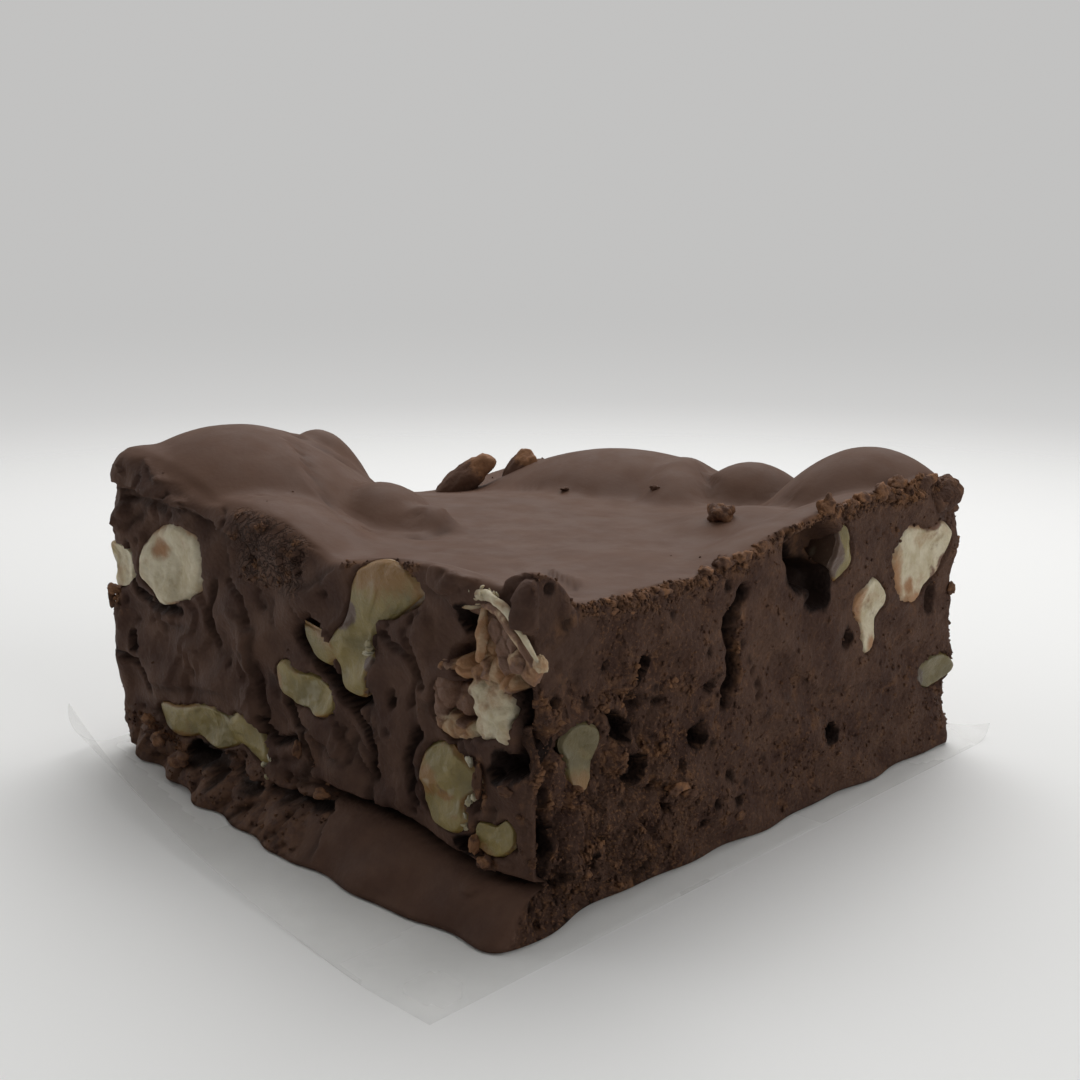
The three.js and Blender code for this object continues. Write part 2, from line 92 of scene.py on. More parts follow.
SIDES = {
    "south": ((1, 0), (0, -1), 38.0),
    "east": ((0, 1), (1, 0), 37.0),
    "north": ((-1, 0), (0, 1), 38.0),
    "west": ((0, -1), (-1, 0), 37.0),
}
LOBE_SHARPNESS = 3
WALNUTS = {  # side, then lobes: along, up, half-length, half-height, depth, turn in degrees
    "walnut_south_upper": (
        "south", (10.4, 23.4, 3.4, 3, 4.5, -20), (15.4, 30.6, 5.8, 2.9, 4.6, 8),
        (11.6, 27, 2.4, 3, 4, -20), (4.6, 23, 3.4, 1.7, 3, -42), (10.4, 20.2, 2.2, 2, 3.6, 0),
    ),
    "walnut_south_lower": ("south", (3.4, 16.6, 3.9, 2.1, 4.2, -10), (-0.6, 17.4, 2.8, 1.9, 3, -35)),
    "walnut_south_long": (
        "south", (-16.6, 8, 6.6, 2.4, 4.4, 4), (-24.4, 7.2, 4.6, 1.8, 3.6, 2),
        (-8.6, 8.9, 4.2, 1.8, 3.6, -26),
    ),
    "walnut_south_corner": ("south", (24.4, 13.6, 3.9, 3.1, 4.4, 0), (24.6, 9.8, 3.4, 2, 4, -12)),
    "walnut_south_small": (
        "south", (31.2, 8.2, 2.5, 1.5, 3.4, 20), (32.7, 9.3, 1.6, 1.3, 3, 60),
        (30.4, 8.6, 1.5, 1, 3, -30),
    ),
    "walnut_east_front": ("east", (-31.9, 18.3, 2.3, 2.4, 3.2, 0), (-31.6, 15.4, 1.9, 2.2, 3, -4)),
    "walnut_east_hollow": ("east", (11.4, 29.8, 1.7, 3.4, 5.6, -6)),
    "walnut_east_far": ("east", (34.4, 10.2, 3.6, 2.2, 4, 0)),
    "walnut_north_upper": ("north", (-17, 24.6, 4.6, 2.6, 4.6, 24), (-12.6, 22.4, 2.8, 2.2, 3.8, 0)),
    "walnut_north_middle": ("north", (9, 16, 3.2, 4, 4.2, 14), (12.2, 13, 2.4, 2, 3.4, 0)),
    "walnut_west_upper": ("west", (6, 23, 4.2, 2.4, 4.2, 30), (9.6, 20.6, 2.4, 2.2, 3.6, 0)),
    "walnut_west_lower": ("west", (18, 8.6, 4.8, 2.1, 4, 6), (22.6, 10.4, 2.2, 1.7, 3, 0)),
}
MARSHMALLOWS = {
    "marshmallow_south_left": ("south", (-23.4, 26.6, 7.4, 4.9, 5, 12)),
    "marshmallow_south_edge": ("west", (35.6, 24.6, 5, 3.2, 5.4, 0)),
    "marshmallow_east_upper": ("east", (27.2, 25.6, 4.4, 4.9, 4.6, 0), (32.4, 26.6, 3, 3.8, 4, 0)),
    "marshmallow_east_drop": ("east", (17.8, 22.6, 3, 2.7, 3.2, 0), (18, 18.8, 1.8, 2.3, 2.4, 0)),
    "marshmallow_north_upper": ("north", (22, 24, 5.6, 4.6, 5, 20)),
    "marshmallow_north_lower": ("north", (-4.5, 9.5, 4.8, 4.2, 4.8, 0)),
    "marshmallow_west_upper": ("west", (-23, 19.4, 5.2, 4, 4.8, -10)),
    "marshmallow_west_lower": ("west", (2.5, 9.5, 4.4, 3.8, 4.4, 0)),
}
TORN_POCKET = ("south", (30, 21.8, 4.4, 3.2, 4.4, 20), (25.2, 20.6, 2.4, 3.2, 3.4, 0),
               (30.4, 28.6, 3.2, 4.2, 3.2, 0), (34, 27, 2.3, 2.6, 3, 0), (27.8, 25.6, 2.2, 1.8, 3, 0))
TORN_LUMPS = [  # along, up, out, half-sizes along, up and out, turn, chocolate smear, toasted tan
    (31, 21.9, -1.1, 2.7, 2.5, 2, 10, 0, 0.05), (29.2, 23.2, -0.7, 1.5, 1.4, 1.3, 0, 0, 0.1),
    (32.4, 20, -1, 1.4, 1.7, 1.5, 0, 0, 0.2), (30.2, 19.6, -0.8, 1.8, 1.2, 1.4, -8, 0, 0.15),
    (32.3, 23.6, -0.8, 1.3, 1.4, 1.3, 0, 0, 0.2), (32.3, 26.2, -0.9, 1.7, 2.1, 1.4, 8, 0, 0.42),
    (33.3, 24.9, -0.5, 1.2, 0.9, 1.1, 20, 0, 0.75), (30.2, 29.4, -1, 1, 2.8, 0.9, -5, 0.1, 0.62),
    (29.8, 26.9, -0.7, 1.3, 1.6, 1.2, 0, 0, 0.72), (30.8, 25.2, -0.6, 1.1, 1.1, 1.1, 0, 0, 0.5),
    (27.4, 25.2, -0.4, 1.5, 1.2, 1.2, 6, 0.1, 1), (28.7, 24.8, -0.4, 1.1, 1, 1, 0, 0, 0.95),
    (24.5, 22.3, -0.2, 1.5, 2, 1.1, -8, 0.95, 0.8), (24.9, 24.8, -0.4, 1.4, 0.9, 0.9, 20, 0.25, 0.55),
    (26.7, 21.7, -1, 1.3, 1.6, 1, 0, 0.7, 0.9), (25.2, 19, -0.4, 2.2, 1.2, 1.2, -12, 0.1, 0.55),
    (27.4, 18.7, -0.5, 1.7, 1, 1.2, -6, 0.1, 0.6), (24, 20.1, -0.5, 1, 1.2, 1, 0, 0.1, 0.45),
    (31.9, 29.9, -0.7, 1.9, 1.8, 1, 0, 0.95, 0.8), (33.9, 29.5, -0.5, 1.6, 1.9, 1, 20, 0.8, 0.8),
    (32.3, 28.1, -0.6, 1.4, 1, 0.9, 0, 0.85, 0.8), (34.9, 27.7, -0.2, 1.6, 1.5, 1, 30, 0.6, 0.85),
    (27.2, 31.7, -0.6, 1.3, 0.7, 0.8, 0, 0.1, 0.3), (29.2, 32.3, -0.4, 1.5, 0.6, 0.9, 8, 0, 0.25),
]
TORN_ENDS = [  # the same, for lumps that hang past the corner
    (36.4, 27, -0.2, 1.3, 1.3, 1, 20, 0.4, 0.85), (35, 27.4, 0, 1.3, 1.2, 0.9, 0, 0.5, 0.8),
    (37.9, 28, 0.3, 0.7, 0.9, 0.6, 30, 0.1, 0.55), (30.4, 32.9, 0, 1.4, 0.5, 0.6, 6, 0, 0.15),
    (27.6, 32.1, -0.3, 1.5, 0.5, 0.6, 4, 0.05, 0.2),
]
HOOD = [  # path along, up and out, radius, chocolate smear, toasted tan
    (((26.4, 31.9, -0.5), (29.6, 33, 0.1), (33, 32.8, 0.7), (35.9, 30.9, 1), (38.1, 28.1, 0.7)),
     0.46, 0, 0.2),
    (((29.4, 31.8, -0.5), (32.4, 31.8, 0.2), (35, 30.1, 0.6), (37.2, 27.6, 0.5)), 0.6, 0.75, 0.8),
    (((29.7, 31.6, -0.5), (30.1, 28.8, 0), (29.7, 26.4, 0.3)), 0.7, 0.1, 0.9),
]
KNOBS = [  # middle, the way it points, half-length, half-width, rust at its tip
    ((-31.9, 17.1, 28.4), (0.6, 0.56, 0.62), 5, 2.4, 1),
    ((-25.3, 22, 29.6), (0.42, 0.34, 0.84), 3.4, 2.2, 1), ((36, 34.4, 33), (0.2, 1, 0.35), 3.4, 2.3, 0.3),
    ((36.6, 28.6, 35), (0.1, 0.9, 0.3), 3, 1, 0.9),
]
FLAKES = [  # place, half-sizes, rust
    ((23.5, 6.8, 32.7), (1.6, 1.4, 1.6), 0.6), ((3.7, 18.2, 31.6), (0.9, 0.5, 0.5), 0.1),
    ((36.4, 8.8, 35), (0.9, 1.2, 1.5), 0.9), ((36.6, 10.2, 34.6), (0.7, 0.9, 0.8), 1),
    ((36.6, 36.2, 31.6), (1, 1.2, 1.6), 0.2), ((36.9, 32.2, 32.2), (0.9, 1.4, 1), 0.3),
    ((36.2, -9.6, 32.1), (0.9, 1.5, 0.8), 1), ((36.7, -6.6, 32.3), (0.7, 1.3, 0.7), 0.9),
    ((36.4, -12.6, 31.7), (0.8, 1, 0.6), 0.8), ((36.6, -3.4, 32.8), (0.7, 1.2, 0.7), 0.6),
    ((36.6, -27.6, 30.6), (0.6, 1.3, 0.5), 0.9), ((36.9, -25, 30.2), (0.6, 1, 0.5), 0.8),
    ((36.5, -19.6, 31), (0.6, 0.9, 0.5), 0.8), ((36.4, 16.4, 35.2), (0.8, 1.5, 0.7), 0.9),
    ((36.6, 20, 35.4), (0.7, 1.4, 0.8), 0.8), ((36.2, 24, 35.9), (0.9, 1.6, 0.9), 0.9),
    ((36.7, 22.2, 34.8), (0.8, 1, 0.7), 0.5), ((-37.9, -37.6, 20.8), (1.2, 0.7, 0.6), 1),
    ((-38, -37.9, 19.8), (0.5, 0.5, 1), 0.9), ((-9.1, 14.5, 30.4), (0.5, 0.6, 0.25), 0.4),
    ((36.5, 13.6, 34.8), (0.6, 1.4, 0.6), 0.8), ((37.2, -17.6, 9.8), (0.7, 1.4, 0.6), 1),
    ((37.2, -15.4, 8.6), (0.6, 0.9, 0.5), 0.9), ((37, -6.4, 3.4), (0.5, 0.8, 0.5), 0.8),
    ((33.6, -38.5, 14.6), (0.9, 0.6, 0.5), 1), ((29.5, -38.3, 14.3), (0.5, 0.5, 1.3), 1),
    ((28.9, -38.3, 7.6), (0.6, 0.5, 0.9), 1), ((30.6, -38.4, 6.4), (0.9, 0.5, 0.5), 1),
    ((-29.5, -38.9, 6), (0.9, 0.7, 0.6), 0.8), ((-26, -39.6, 4.6), (1.6, 0.9, 0.9), 0.7),
    ((-20.6, -40.2, 3.4), (1.4, 0.9, 0.9), 0.6), ((5.4, -38.9, 6.2), (1, 0.7, 0.5), 0.9),
    ((1, -38.6, 10), (0.5, 0.5, 0.8), 0.6), ((36.8, 37.2, 26.4), (0.7, 0.7, 1.2), 0.8),
    ((36.9, 37, 20.6), (0.6, 0.6, 0.8), 0.7),
]
NUT_CHIPS = [  # clusters of pale chips on the south side: along, up, spread, number
    (-5.4, 5.2, 0.8, 6), (-4.6, 7.2, 0.5, 3), (27.6, 9.2, 0.9, 6), (28.3, 12, 0.6, 3),
    (13.2, 23.9, 0.6, 4), (27.8, 16, 0.5, 2),
]

PAPER = {"left": -41, "right": 40.6, "front": -54.6, "back": 44, "thickness": 0.25, "edge": 0.1}
SLANT = {"from": 32, "depth": 6.6}
CURLS = [  # a point on the fold line, the way the paper rises past it in degrees, and the radius
    (-37, -38.8, 257, 5.6), (38, 41.2, 62, 3.4),
]

# Cracks and grooves of a side: points (along, up) of a path, its half-width and its depth.
CRACKS = {
    "south": [
        (((1.1, 23), (4.5, 20.6), (7.2, 18.7), (9.6, 18.1)), 0.75, 3),
        (((8, 18.9), (10.2, 17.7), (12.4, 18.6)), 0.8, 3),
        (((9.8, 17.6), (13.4, 13.6), (12.6, 10.4)), 0.4, 1.4),
        (((-1.6, 14.4), (1.6, 11.8), (2.6, 8.6)), 0.4, 1.2),
        (((14.6, 25.8), (18.8, 25), (21.4, 21.8)), 0.35, 1),
        (((-33.4, 27.2), (-31.6, 22), (-28.4, 20.6), (-22.6, 21)), 0.45, 1.3),
        (((-14.6, 26), (-16.4, 22.4), (-14.8, 18.6)), 0.4, 1.1),
        (((-37.2, 13.6), (-33, 12.2), (-29.6, 9.6)), 0.4, 1.2),
        (((20.4, 16.8), (18.6, 13.4), (19.6, 9.4)), 0.45, 1.3),
        (((-6.4, 11.6), (-4, 9.7), (0.3, 10.8)), 0.35, 1.4),
        (((-4, 4.3), (0.4, 4.6), (4.5, 4.9), (8, 5.4)), 0.4, 1.6),
        (((-20.3, 4.2), (-17, 4.4), (-14.4, 4.5), (-12.8, 3)), 0.7, 1.3),
        (((-11, 4.6), (-8, 3.6), (-5.4, 3.4)), 0.45, 1.4),
        (((35.4, 24.8), (35.7, 21), (34.9, 17.2)), 0.95, 3.2), (((16.2, 20), (16.6, 18.6)), 0.35, 0.8),
        (((28.6, 16), (29.3, 13.2), (28.9, 11.2)), 0.35, 1),
        (((-7.6, 16.6), (-5.4, 12.6), (-6, 9.6)), 0.3, 1),
        (((19.4, 26.6), (20.6, 23), (19.4, 19.4)), 0.3, 0.8),
        (((-34.6, 33), (-30, 33.6), (-25, 33.2)), 0.35, 0.9),
        (((-12.2, 26.8), (-9.6, 25.4), (-8.8, 22.4)), 0.3, 0.8),
    ],
    "east": [
        (((-6.8, 28.8), (-8.4, 26.6), (-8.8, 24.6)), 0.6, 2), (((-8.6, 23.9), (-8.4, 22.6)), 0.9, 2.8),
        (((-8.4, 21.6), (-9, 18.9)), 1, 3.2), (((-9, 18.2), (-9.1, 16.6)), 0.6, 2.4),
        (((-37, 15), (-36.6, 10), (-36.8, 5)), 0.6, 1.3), (((-34.6, 11), (-34.2, 6)), 0.35, 0.9),
        (((-31.2, 8.5), (-31, 4)), 0.35, 0.7),
        (((-24, 11.2), (-20, 10.4), (-17.6, 9.6), (-14.9, 8.4)), 0.28, 0.7),
        (((0.9, 33.6), (1.2, 30.4), (2.4, 27.4)), 0.4, 1.4),
        (((-28.6, 15.6), (-28, 12.2), (-28.8, 9.6)), 0.3, 0.7),
        (((-25, 21.4), (-23.6, 18.8), (-23, 16)), 0.4, 0.9),
    ],
    "north": [
        (((-28, 28), (-25, 22), (-26, 16)), 0.85, 1.1), (((4, 27), (8, 24), (14, 23.5)), 0.8, 0.9),
        (((-6, 20), (0, 18.5)), 0.7, 0.7),
    ],
    "west": [
        (((-10, 27), (-6, 22), (-6.4, 17)), 0.85, 1.1), (((12, 12), (18, 13.6), (26, 13)), 0.75, 0.8),
        (((28, 32), (30, 27)), 0.7, 0.8),
    ],
}
# Holes: along, up, half-length, half-height, depth, turn in degrees. A lump has a depth below 0.
HOLES = {
    "south": [
        (33.4, 16.8, 1.4, 0.9, 2.7, -20), (31.9, 15.6, 0.9, 0.6, 1.6, 0), (27.6, 7, 1.1, 0.8, 2.2, 0),
        (-18.4, 4.3, 2.2, 1, 1.9, 0), (28, 30, 1.3, 1.1, 2.4, 0), (-33.3, 15.9, 0.6, 0.5, 1.2, 0),
        (-32.6, 14.8, 0.6, 0.8, 1.4, 20), (16.5, 19.2, 0.5, 0.7, 1.1, 0), (7.8, 13.6, 0.4, 0.8, 0.6, 0),
        (24.6, 33.4, 2.4, 1.4, -0.9, 0), (28.2, 34.6, 2.2, 1.1, -0.8, 10), (32.6, 35, 2.6, 1, -0.5, 0),
        (36, 33, 1.5, 2.5, -1.3, 0), (21.4, 27.4, 1.2, 2.6, -0.5, 10), (-9, 19, 1.7, 3, -0.6, 12),
        (1.6, 7.4, 3, 1.2, -0.6, 10), (30.2, 5, 1.3, 1.4, -0.7, 0), (-8.4, 13, 1.4, 2.6, -0.6, 30),
        (-34.4, 30.6, 1.4, 1.8, -0.6, 0), (-21.6, 34, 3.4, 0.9, -0.5, -8), (7.2, 12.2, 1.2, 1.8, -0.4, 0),
    ],
    "east": [
        (5.8, 30.6, 5, 3.9, 4.4, 0), (4.2, 29, 2.9, 2.3, 3.4, 0), (7.2, 26.4, 2, 2, 3, 20),
        (-27, 18.9, 1.4, 0.9, 2.8, -35), (-25.6, 17.8, 0.9, 0.9, 2.6, 0), (-23.5, 13.4, 1, 1.3, 2.6, 0),
        (-14.1, 14.2, 1.2, 0.8, 2.6, -25), (-13.4, 14.9, 0.5, 0.7, 1.8, 0), (11, 8.1, 1.1, 0.7, 2.2, 0),
        (-22.8, 23.6, 1.1, 0.6, 2.2, 20), (-23.8, 22, 0.5, 0.5, 1.4, 0), (-12.4, 19.6, 0.5, 0.45, 1.2, 0),
        (-3.6, 16.4, 0.4, 0.4, 0.9, 0), (13, 19.2, 0.7, 0.8, 1.4, 0), (-6.6, 5, 0.7, 0.5, 1.2, 0),
        (-36.6, 9.7, 0.9, 1.4, 2.4, 0), (-31, 22.5, 0.6, 0.4, 1.2, 0), (-4.6, 19.6, 0.4, 0.4, 0.9, 0),
        (-30, 5.6, 0.6, 0.8, 1.4, 0), (-20.4, 6.4, 0.5, 0.4, 1, 0), (20.4, 14.6, 0.4, 0.4, 0.8, 0),
        (-36.4, 18.6, 0.8, 3.2, 1.6, 0), (31.8, 20.6, 1.1, 1.9, 1, 0), (-33.8, 30.8, 1.2, 1.8, -0.5, 0),
        (9.6, 34.9, 3, 0.6, -0.7, 0), (-25.2, 25.4, 0.9, 2.4, -0.6, 14),
    ],
    "north": [
        (-30, 12, 1.2, 1, 1.6, 0), (-28.8, 12.9, 0.8, 0.7, 1.2, 0), (16, 8, 1, 0.8, 1.2, 0),
        (0, 25, 1.5, 0.8, 1.5, 20), (1.6, 25.8, 0.9, 0.7, 1.1, 0), (27, 14, 0.9, 1.1, 1.2, 0),
        (-18, 6.4, 0.7, 0.6, 0.9, 0), (9, 4.6, 0.8, 0.6, 0.9, 0), (-10, 16, 2.4, 1.4, -0.6, 20),
        (30, 28, 3, 1.6, -0.7, 0),
    ],
    "west": [
        (-30, 9, 1.2, 0.7, 1.3, 20), (-14, 12, 0.8, 0.7, 1.1, 0), (30, 16, 1.2, 0.7, 1.4, -15),
        (31.2, 15.2, 0.7, 0.7, 1.1, 0), (-2, 14, 3.4, 1.6, -0.6, -20), (16, 30, 3, 1.4, -0.6, 10),
    ],
}
# Overlapping smears: a path whose left side (walking along it) stands higher, fading away from it.
SMEARS = {
    "south": [
        (((-37, 34.8), (-26.5, 34.5), (-19.5, 33.9), (-12.5, 32.3), (-5.4, 31.4)), 1.9, 2),
        (((6.2, 7.4), (8.4, 5), (9.2, 2.6), (8.6, 0.2)), 1, 2.4),
        (((-12.9, 32.2), (-12.1, 29.8), (-11.2, 27)), 0.8, 2),
        (((-12.6, 23.6), (-7.4, 21.3), (-7.8, 16.2), (-4.8, 11.1)), -0.7, 2.6),
        (((20, 24), (20.6, 17), (22, 12)), 0.5, 2.4), (((-34, 21), (-26, 19), (-18, 20)), 0.4, 2.4),
        (((-2, 27.6), (4, 28.6), (8.6, 31.8)), -0.6, 2.2), (((8, 16.4), (13, 12), (15.4, 8.4)), 0.5, 2.6),
        (((-31, 10.6), (-22, 11.6), (-13, 13.4)), 0.6, 2.2),
        (((20.6, 32.6), (25, 31.8), (27.6, 29.4)), 0.7, 1.8),
    ],
    "east": [
        (((-37.4, 24), (-34, 25.4), (-30, 29.4), (-28.4, 31)), 0.7, 1.8),
        (((-2, 22), (8, 14), (24, 12)), 0.3, 4),
        (((0.4, 33.4), (1.4, 29.6), (5.2, 25.2), (8.6, 24.4)), 0.7, 2),
        (((-6.6, 31), (-7.6, 26.4), (-6.9, 20.4)), 0.4, 2),
    ],
    "north": [(((20, 31), (8, 29.6), (-6, 30.4)), -0.8, 2), (((-20, 18), (-8, 13), (4, 7)), 0.6, 3)],
    "west": [(((-20, 30), (-4, 31), (4, 30.2)), 0.8, 2), (((30, 20), (18, 17), (8, 11)), -0.7, 3)],
}
RUST = {  # paths where the chocolate is torn thin and rusty: half-width and amount
    "south": [
        (((10, 32.4), (15, 34.4), (20.4, 33.6)), 0.7, 0.9),
        (((-31, 5.2), (-24, 3.8), (-18, 5.2)), 0.5, 0.7),
        (((29.4, 16.4), (29.8, 13.4), (29.9, 11.6)), 0.5, 1),
        (((-37, 22), (-36.4, 20.2), (-35.4, 19.4)), 0.7, 1),
        (((28.6, 9), (29.2, 7), (31.6, 6.2)), 0.7, 1), (((5.6, 7.2), (6.2, 6), (7.4, 4.4)), 0.5, 0.8),
        (((3.4, 11.6), (3.2, 9.4)), 0.5, 0.5),
    ],
    "east": [
        (((1.4, 33.8), (5, 34.9), (9.6, 34.4)), 0.5, 0.9),
        (((6.4, 32), (8.8, 30.4), (9, 28.4)), 1.5, 0.6),
        (((-7, 27), (-7, 24), (-7.2, 20.4), (-7.8, 16.4)), 0.5, 1),
        (((-24.6, 24.6), (-24.9, 22.4), (-24.2, 20.6)), 0.6, 0.8),
        (((-22.4, 16.6), (-22.2, 13.8), (-22.6, 12)), 0.4, 0.9),
        (((-20.6, 11.4), (-17.4, 9.8), (-14.8, 8.8)), 0.5, 0.9),
        (((-36, 29.6), (-33, 31.4), (-29, 31.6)), 0.8, 0.8),
        (((12.4, 33.6), (18, 34.4), (25, 34.6)), 0.7, 0.8),
        (((-35, 26), (-33, 24.6), (-32.6, 22)), 0.5, 0.7),
    ],
    "north": [],
    "west": [],
}
TOP_CREASES = [  # points (x, y), half-width, depth
    (((-21.8, -21.4), (-13.3, -24.6), (-9.6, -25.4), (-2.3, -27.8)), 0.5, 0.4),
    (((20.5, -24.5), (24.5, -27.5), (27, -31)), 0.5, 0.25),
    (((9, -25.6), (13, -24), (17, -22.4)), 0.6, 0.2), (((3.6, 28.6), (6.5, 26), (9.4, 23.4)), 0.5, 0.35),
    (((-17, 13), (-10, 15.5), (-4, 14.6)), 0.6, 0.15),
]
TOP_STEPS = [  # points (x, y), how much higher the left side is, and over what distance that fades
    (((22.6, -22.4), (26, -24.2), (29.6, -25.2), (33.6, -27.6)), 0.7, 1.5),
    (((26.4, -26.6), (30.4, -28.4), (35.6, -30.6)), -0.7, 1.5),
    (((1, -23.8), (2.8, -21), (2.4, -17.8), (0.2, -15.2), (-5.6, -11.6)), 0.8, 1.8),
    (((-22.4, -21.2), (-14, -24.2), (-8.6, -25.6)), -0.8, 2.6),
    (((-27.4, -17.4), (-21.4, -15.4), (-18.6, -11.4)), 0.9, 2.4),
    (((4, 29), (7, 26.4), (9.6, 23.6)), 0.5, 2), (((14.6, 24.6), (19.6, 20.4), (27.4, 18.8)), 0.4, 2.4),
]
TOP_PITS = [
    (-1.2, -18.7, 0.8, 0.6, 0.8, 0), (-3, -24.7, 0.9, 0.4, 0.6, 0), (-12, -33, 0.4, 0.3, 0.3, 0),
    (8, 4, 0.5, 0.4, 0.2, 0),
]

# ---- The stage, in metres ----

# The room is bright on the side behind the slab and dim in front of it.
BRIGHT_SIDE = (-0.69, 0.70, 0.17)
ROOM_GLOW = (0.08, 0.54)
FLOOR_FADE = (0.09, 0.35)  # distances over which the floor fades into the room
LIGHTS = [  # name, place, target, size, power in watts
    ("overhead_soft_light", (-0.15, 0.26, 0.42), (0.0, 0.0, 0.0), 0.5, 2.1),
    ("right_soft_light", (0.55, 0.06, 0.26), (0.0, 0.0, 0.0), 0.4, 0.9),
    ("left_soft_light", (-0.50, -0.26, 0.22), (0.0, 0.0, 0.0), 0.4, 0.4),
]
CAMERA_PLACE = (0.12828, -0.13070, 0.06913)
CAMERA_TURN = (44.38, 12.93)  # how far it is turned to the left, and down, in degrees


# ---- Curves and uneven values ----

def smooth(low, high, value):
    """0 below low, 1 above high, and 3t^2 - 2t^3 between."""
    t = np.clip((value - low) / (high - low), 0, 1)
    return t * t * (3 - 2 * t)


def bell(value, spread):
    """A bell curve: exp(-(value / spread)^2)."""
    return np.exp(-((value / spread) ** 2))


def over(value):
    """The part of a value above 0."""
    return np.maximum(0, value)


def stack(*parts):
    """Arrays joined along a new last axis, as the numbers of each point or face."""
    return np.stack(parts, axis=-1)


def scatter(cells, seed):
    """An even random number from 0 to 1 for each whole-number cell: its numbers, mixed by large factors."""
    x, y, z = np.moveaxis(cells.astype(np.int64), -1, 0)
    mixed = (x * 374761393 + y * 668265263 + z * 1442695041 + seed * 974634777) & 0xFFFFFFFF
    for shift, factor in ((13, 1274126177), (16, 668265263)):
        mixed = ((mixed ^ (mixed >> shift)) * factor) & 0xFFFFFFFF
    return ((mixed >> 8) & 0xFFFF) / 65535.0


def cloud(points, size, seed, octaves=3):
    """Soft uneven values from -1 to 1: random numbers on a lattice with cells of that size, blended
    smoothly between the eight corners of a cell, with finer and weaker copies added."""
    total = 0
    for octave in range(octaves):
        at = points / (size / 2**octave) + 17.3 * octave
        base = np.floor(at)
        t = smooth(0, 1, at - base)
        value = 0
        for corner in np.ndindex(2, 2, 2):
            share = np.prod(np.where(corner, t, 1 - t), axis=-1)
            value = value + share * scatter(base + corner, seed + octave)
        total = total + (2 * value - 1) / 2**octave
    return total / (2 - 0.5 ** (octaves - 1)) * 1.3


def grains(points, size, seed):
    """Packed grains: for each point the distance to the nearest of one random seed point per cell, how much
    further the next one is, and the nearest grain's own random number."""
    at = points / size
    base = np.floor(at)
    nearest = np.full(len(at), 9.0)
    second, own = nearest, 0 * nearest
    for shift in np.ndindex(3, 3, 3):
        cell = base + shift - 1
        middle = cell + stack(*(scatter(cell, seed + k) for k in range(3)))
        away = np.linalg.norm(at - middle, axis=-1)
        closer = away < nearest
        second = np.where(closer, nearest, np.minimum(second, away))
        own = np.where(closer, scatter(cell, seed + 5), own)
        nearest = np.minimum(nearest, away)
    return nearest, second - nearest, own


def ellipse_reach(x, y, cx, cy, rx, ry, turn):
    """The square of how far (x, y) lies out from an ellipse's middle, where 1 is on the ellipse."""
    c, s = math.cos(math.radians(turn)), math.sin(math.radians(turn))
    return (((x - cx) * c + (y - cy) * s) / rx) ** 2 + (((y - cy) * c - (x - cx) * s) / ry) ** 2


def path_distance(a, u, path):
    """Distance of (a, u) from a path of straight stretches, and how far left of its nearest stretch it
    is."""
    best = np.full(a.shape, 1e9)
    left = np.zeros(a.shape)
    for (a0, u0), (a1, u1) in zip(path[:-1], path[1:]):
        length = math.hypot(a1 - a0, u1 - u0)
        da, du = (a1 - a0) / length, (u1 - u0) / length
        along = np.clip((a - a0) * da + (u - u0) * du, 0, length)
        away = np.hypot(a - a0 - along * da, u - u0 - along * du)
        left = np.where(away < best, (u - u0) * da - (a - a0) * du, left)
        best = np.minimum(best, away)
    return best, left


def rounded_most(heights, blend):
    """The highest of several heights, with the creases between them rounded: b log(sum of exp(h / b))."""
    most = heights.max(axis=0)
    return most + blend * np.log(np.exp((heights - most) / blend).sum(axis=0))


# ---- The slab's shape ----

def top_height(x, y):
    """Height of the top: the basin and every mound, rounded together. A mound falls from its crest with the
    square of the distance."""
    dx, dy, radius, depth = BACK_CORNER_DROP
    away = ((x - dx) ** 2 + (y - dy) ** 2) / radius**2
    heights = [BASIN_HEIGHT + BASIN_SLOPE[0] * x + BASIN_SLOPE[1] * y - depth * np.exp(-away)]
    heights += [crest - fall * ellipse_reach(x, y, *mound) for *mound, crest, fall in MOUNDS]
    return rounded_most(np.array(heights), MOUND_BLEND)


def foot_reach(x, z):
    """How far the south foot stands out: a parabola along it. On the left it thins upwards, with a sine's
    lumps, and on the right it is a rounded slope with a bell-shaped crack above it. Returns the reach and
    the crack."""
    middle, half_length, reach, rough_height, lump, wave = FOOT
    past_end = over((x - TONGUE["end"] + TONGUE["end_radius"]) / TONGUE["end_radius"])
    flare = reach * over(1 - ((x - middle) / half_length) ** 2) * np.sqrt(over(1 - past_end**2))
    tongue = smooth(0, TONGUE["blend"], x)
    height = TONGUE["high"] + (TONGUE["low"] - TONGUE["high"]) * smooth(*TONGUE["falls"], x)
    rough = (flare + lump * np.sin(2 * math.pi * x / wave)) * (1 - smooth(0, rough_height, z))
    rolled = flare * over(1 - (z / height) ** 1.3) ** 0.78
    crack = bell(z - height - 0.5 * TONGUE["crack_width"], TONGUE["crack_width"])
    return (1 - tongue) * rough + tongue * (rolled - TONGUE["crack"] * crack), tongue * crack


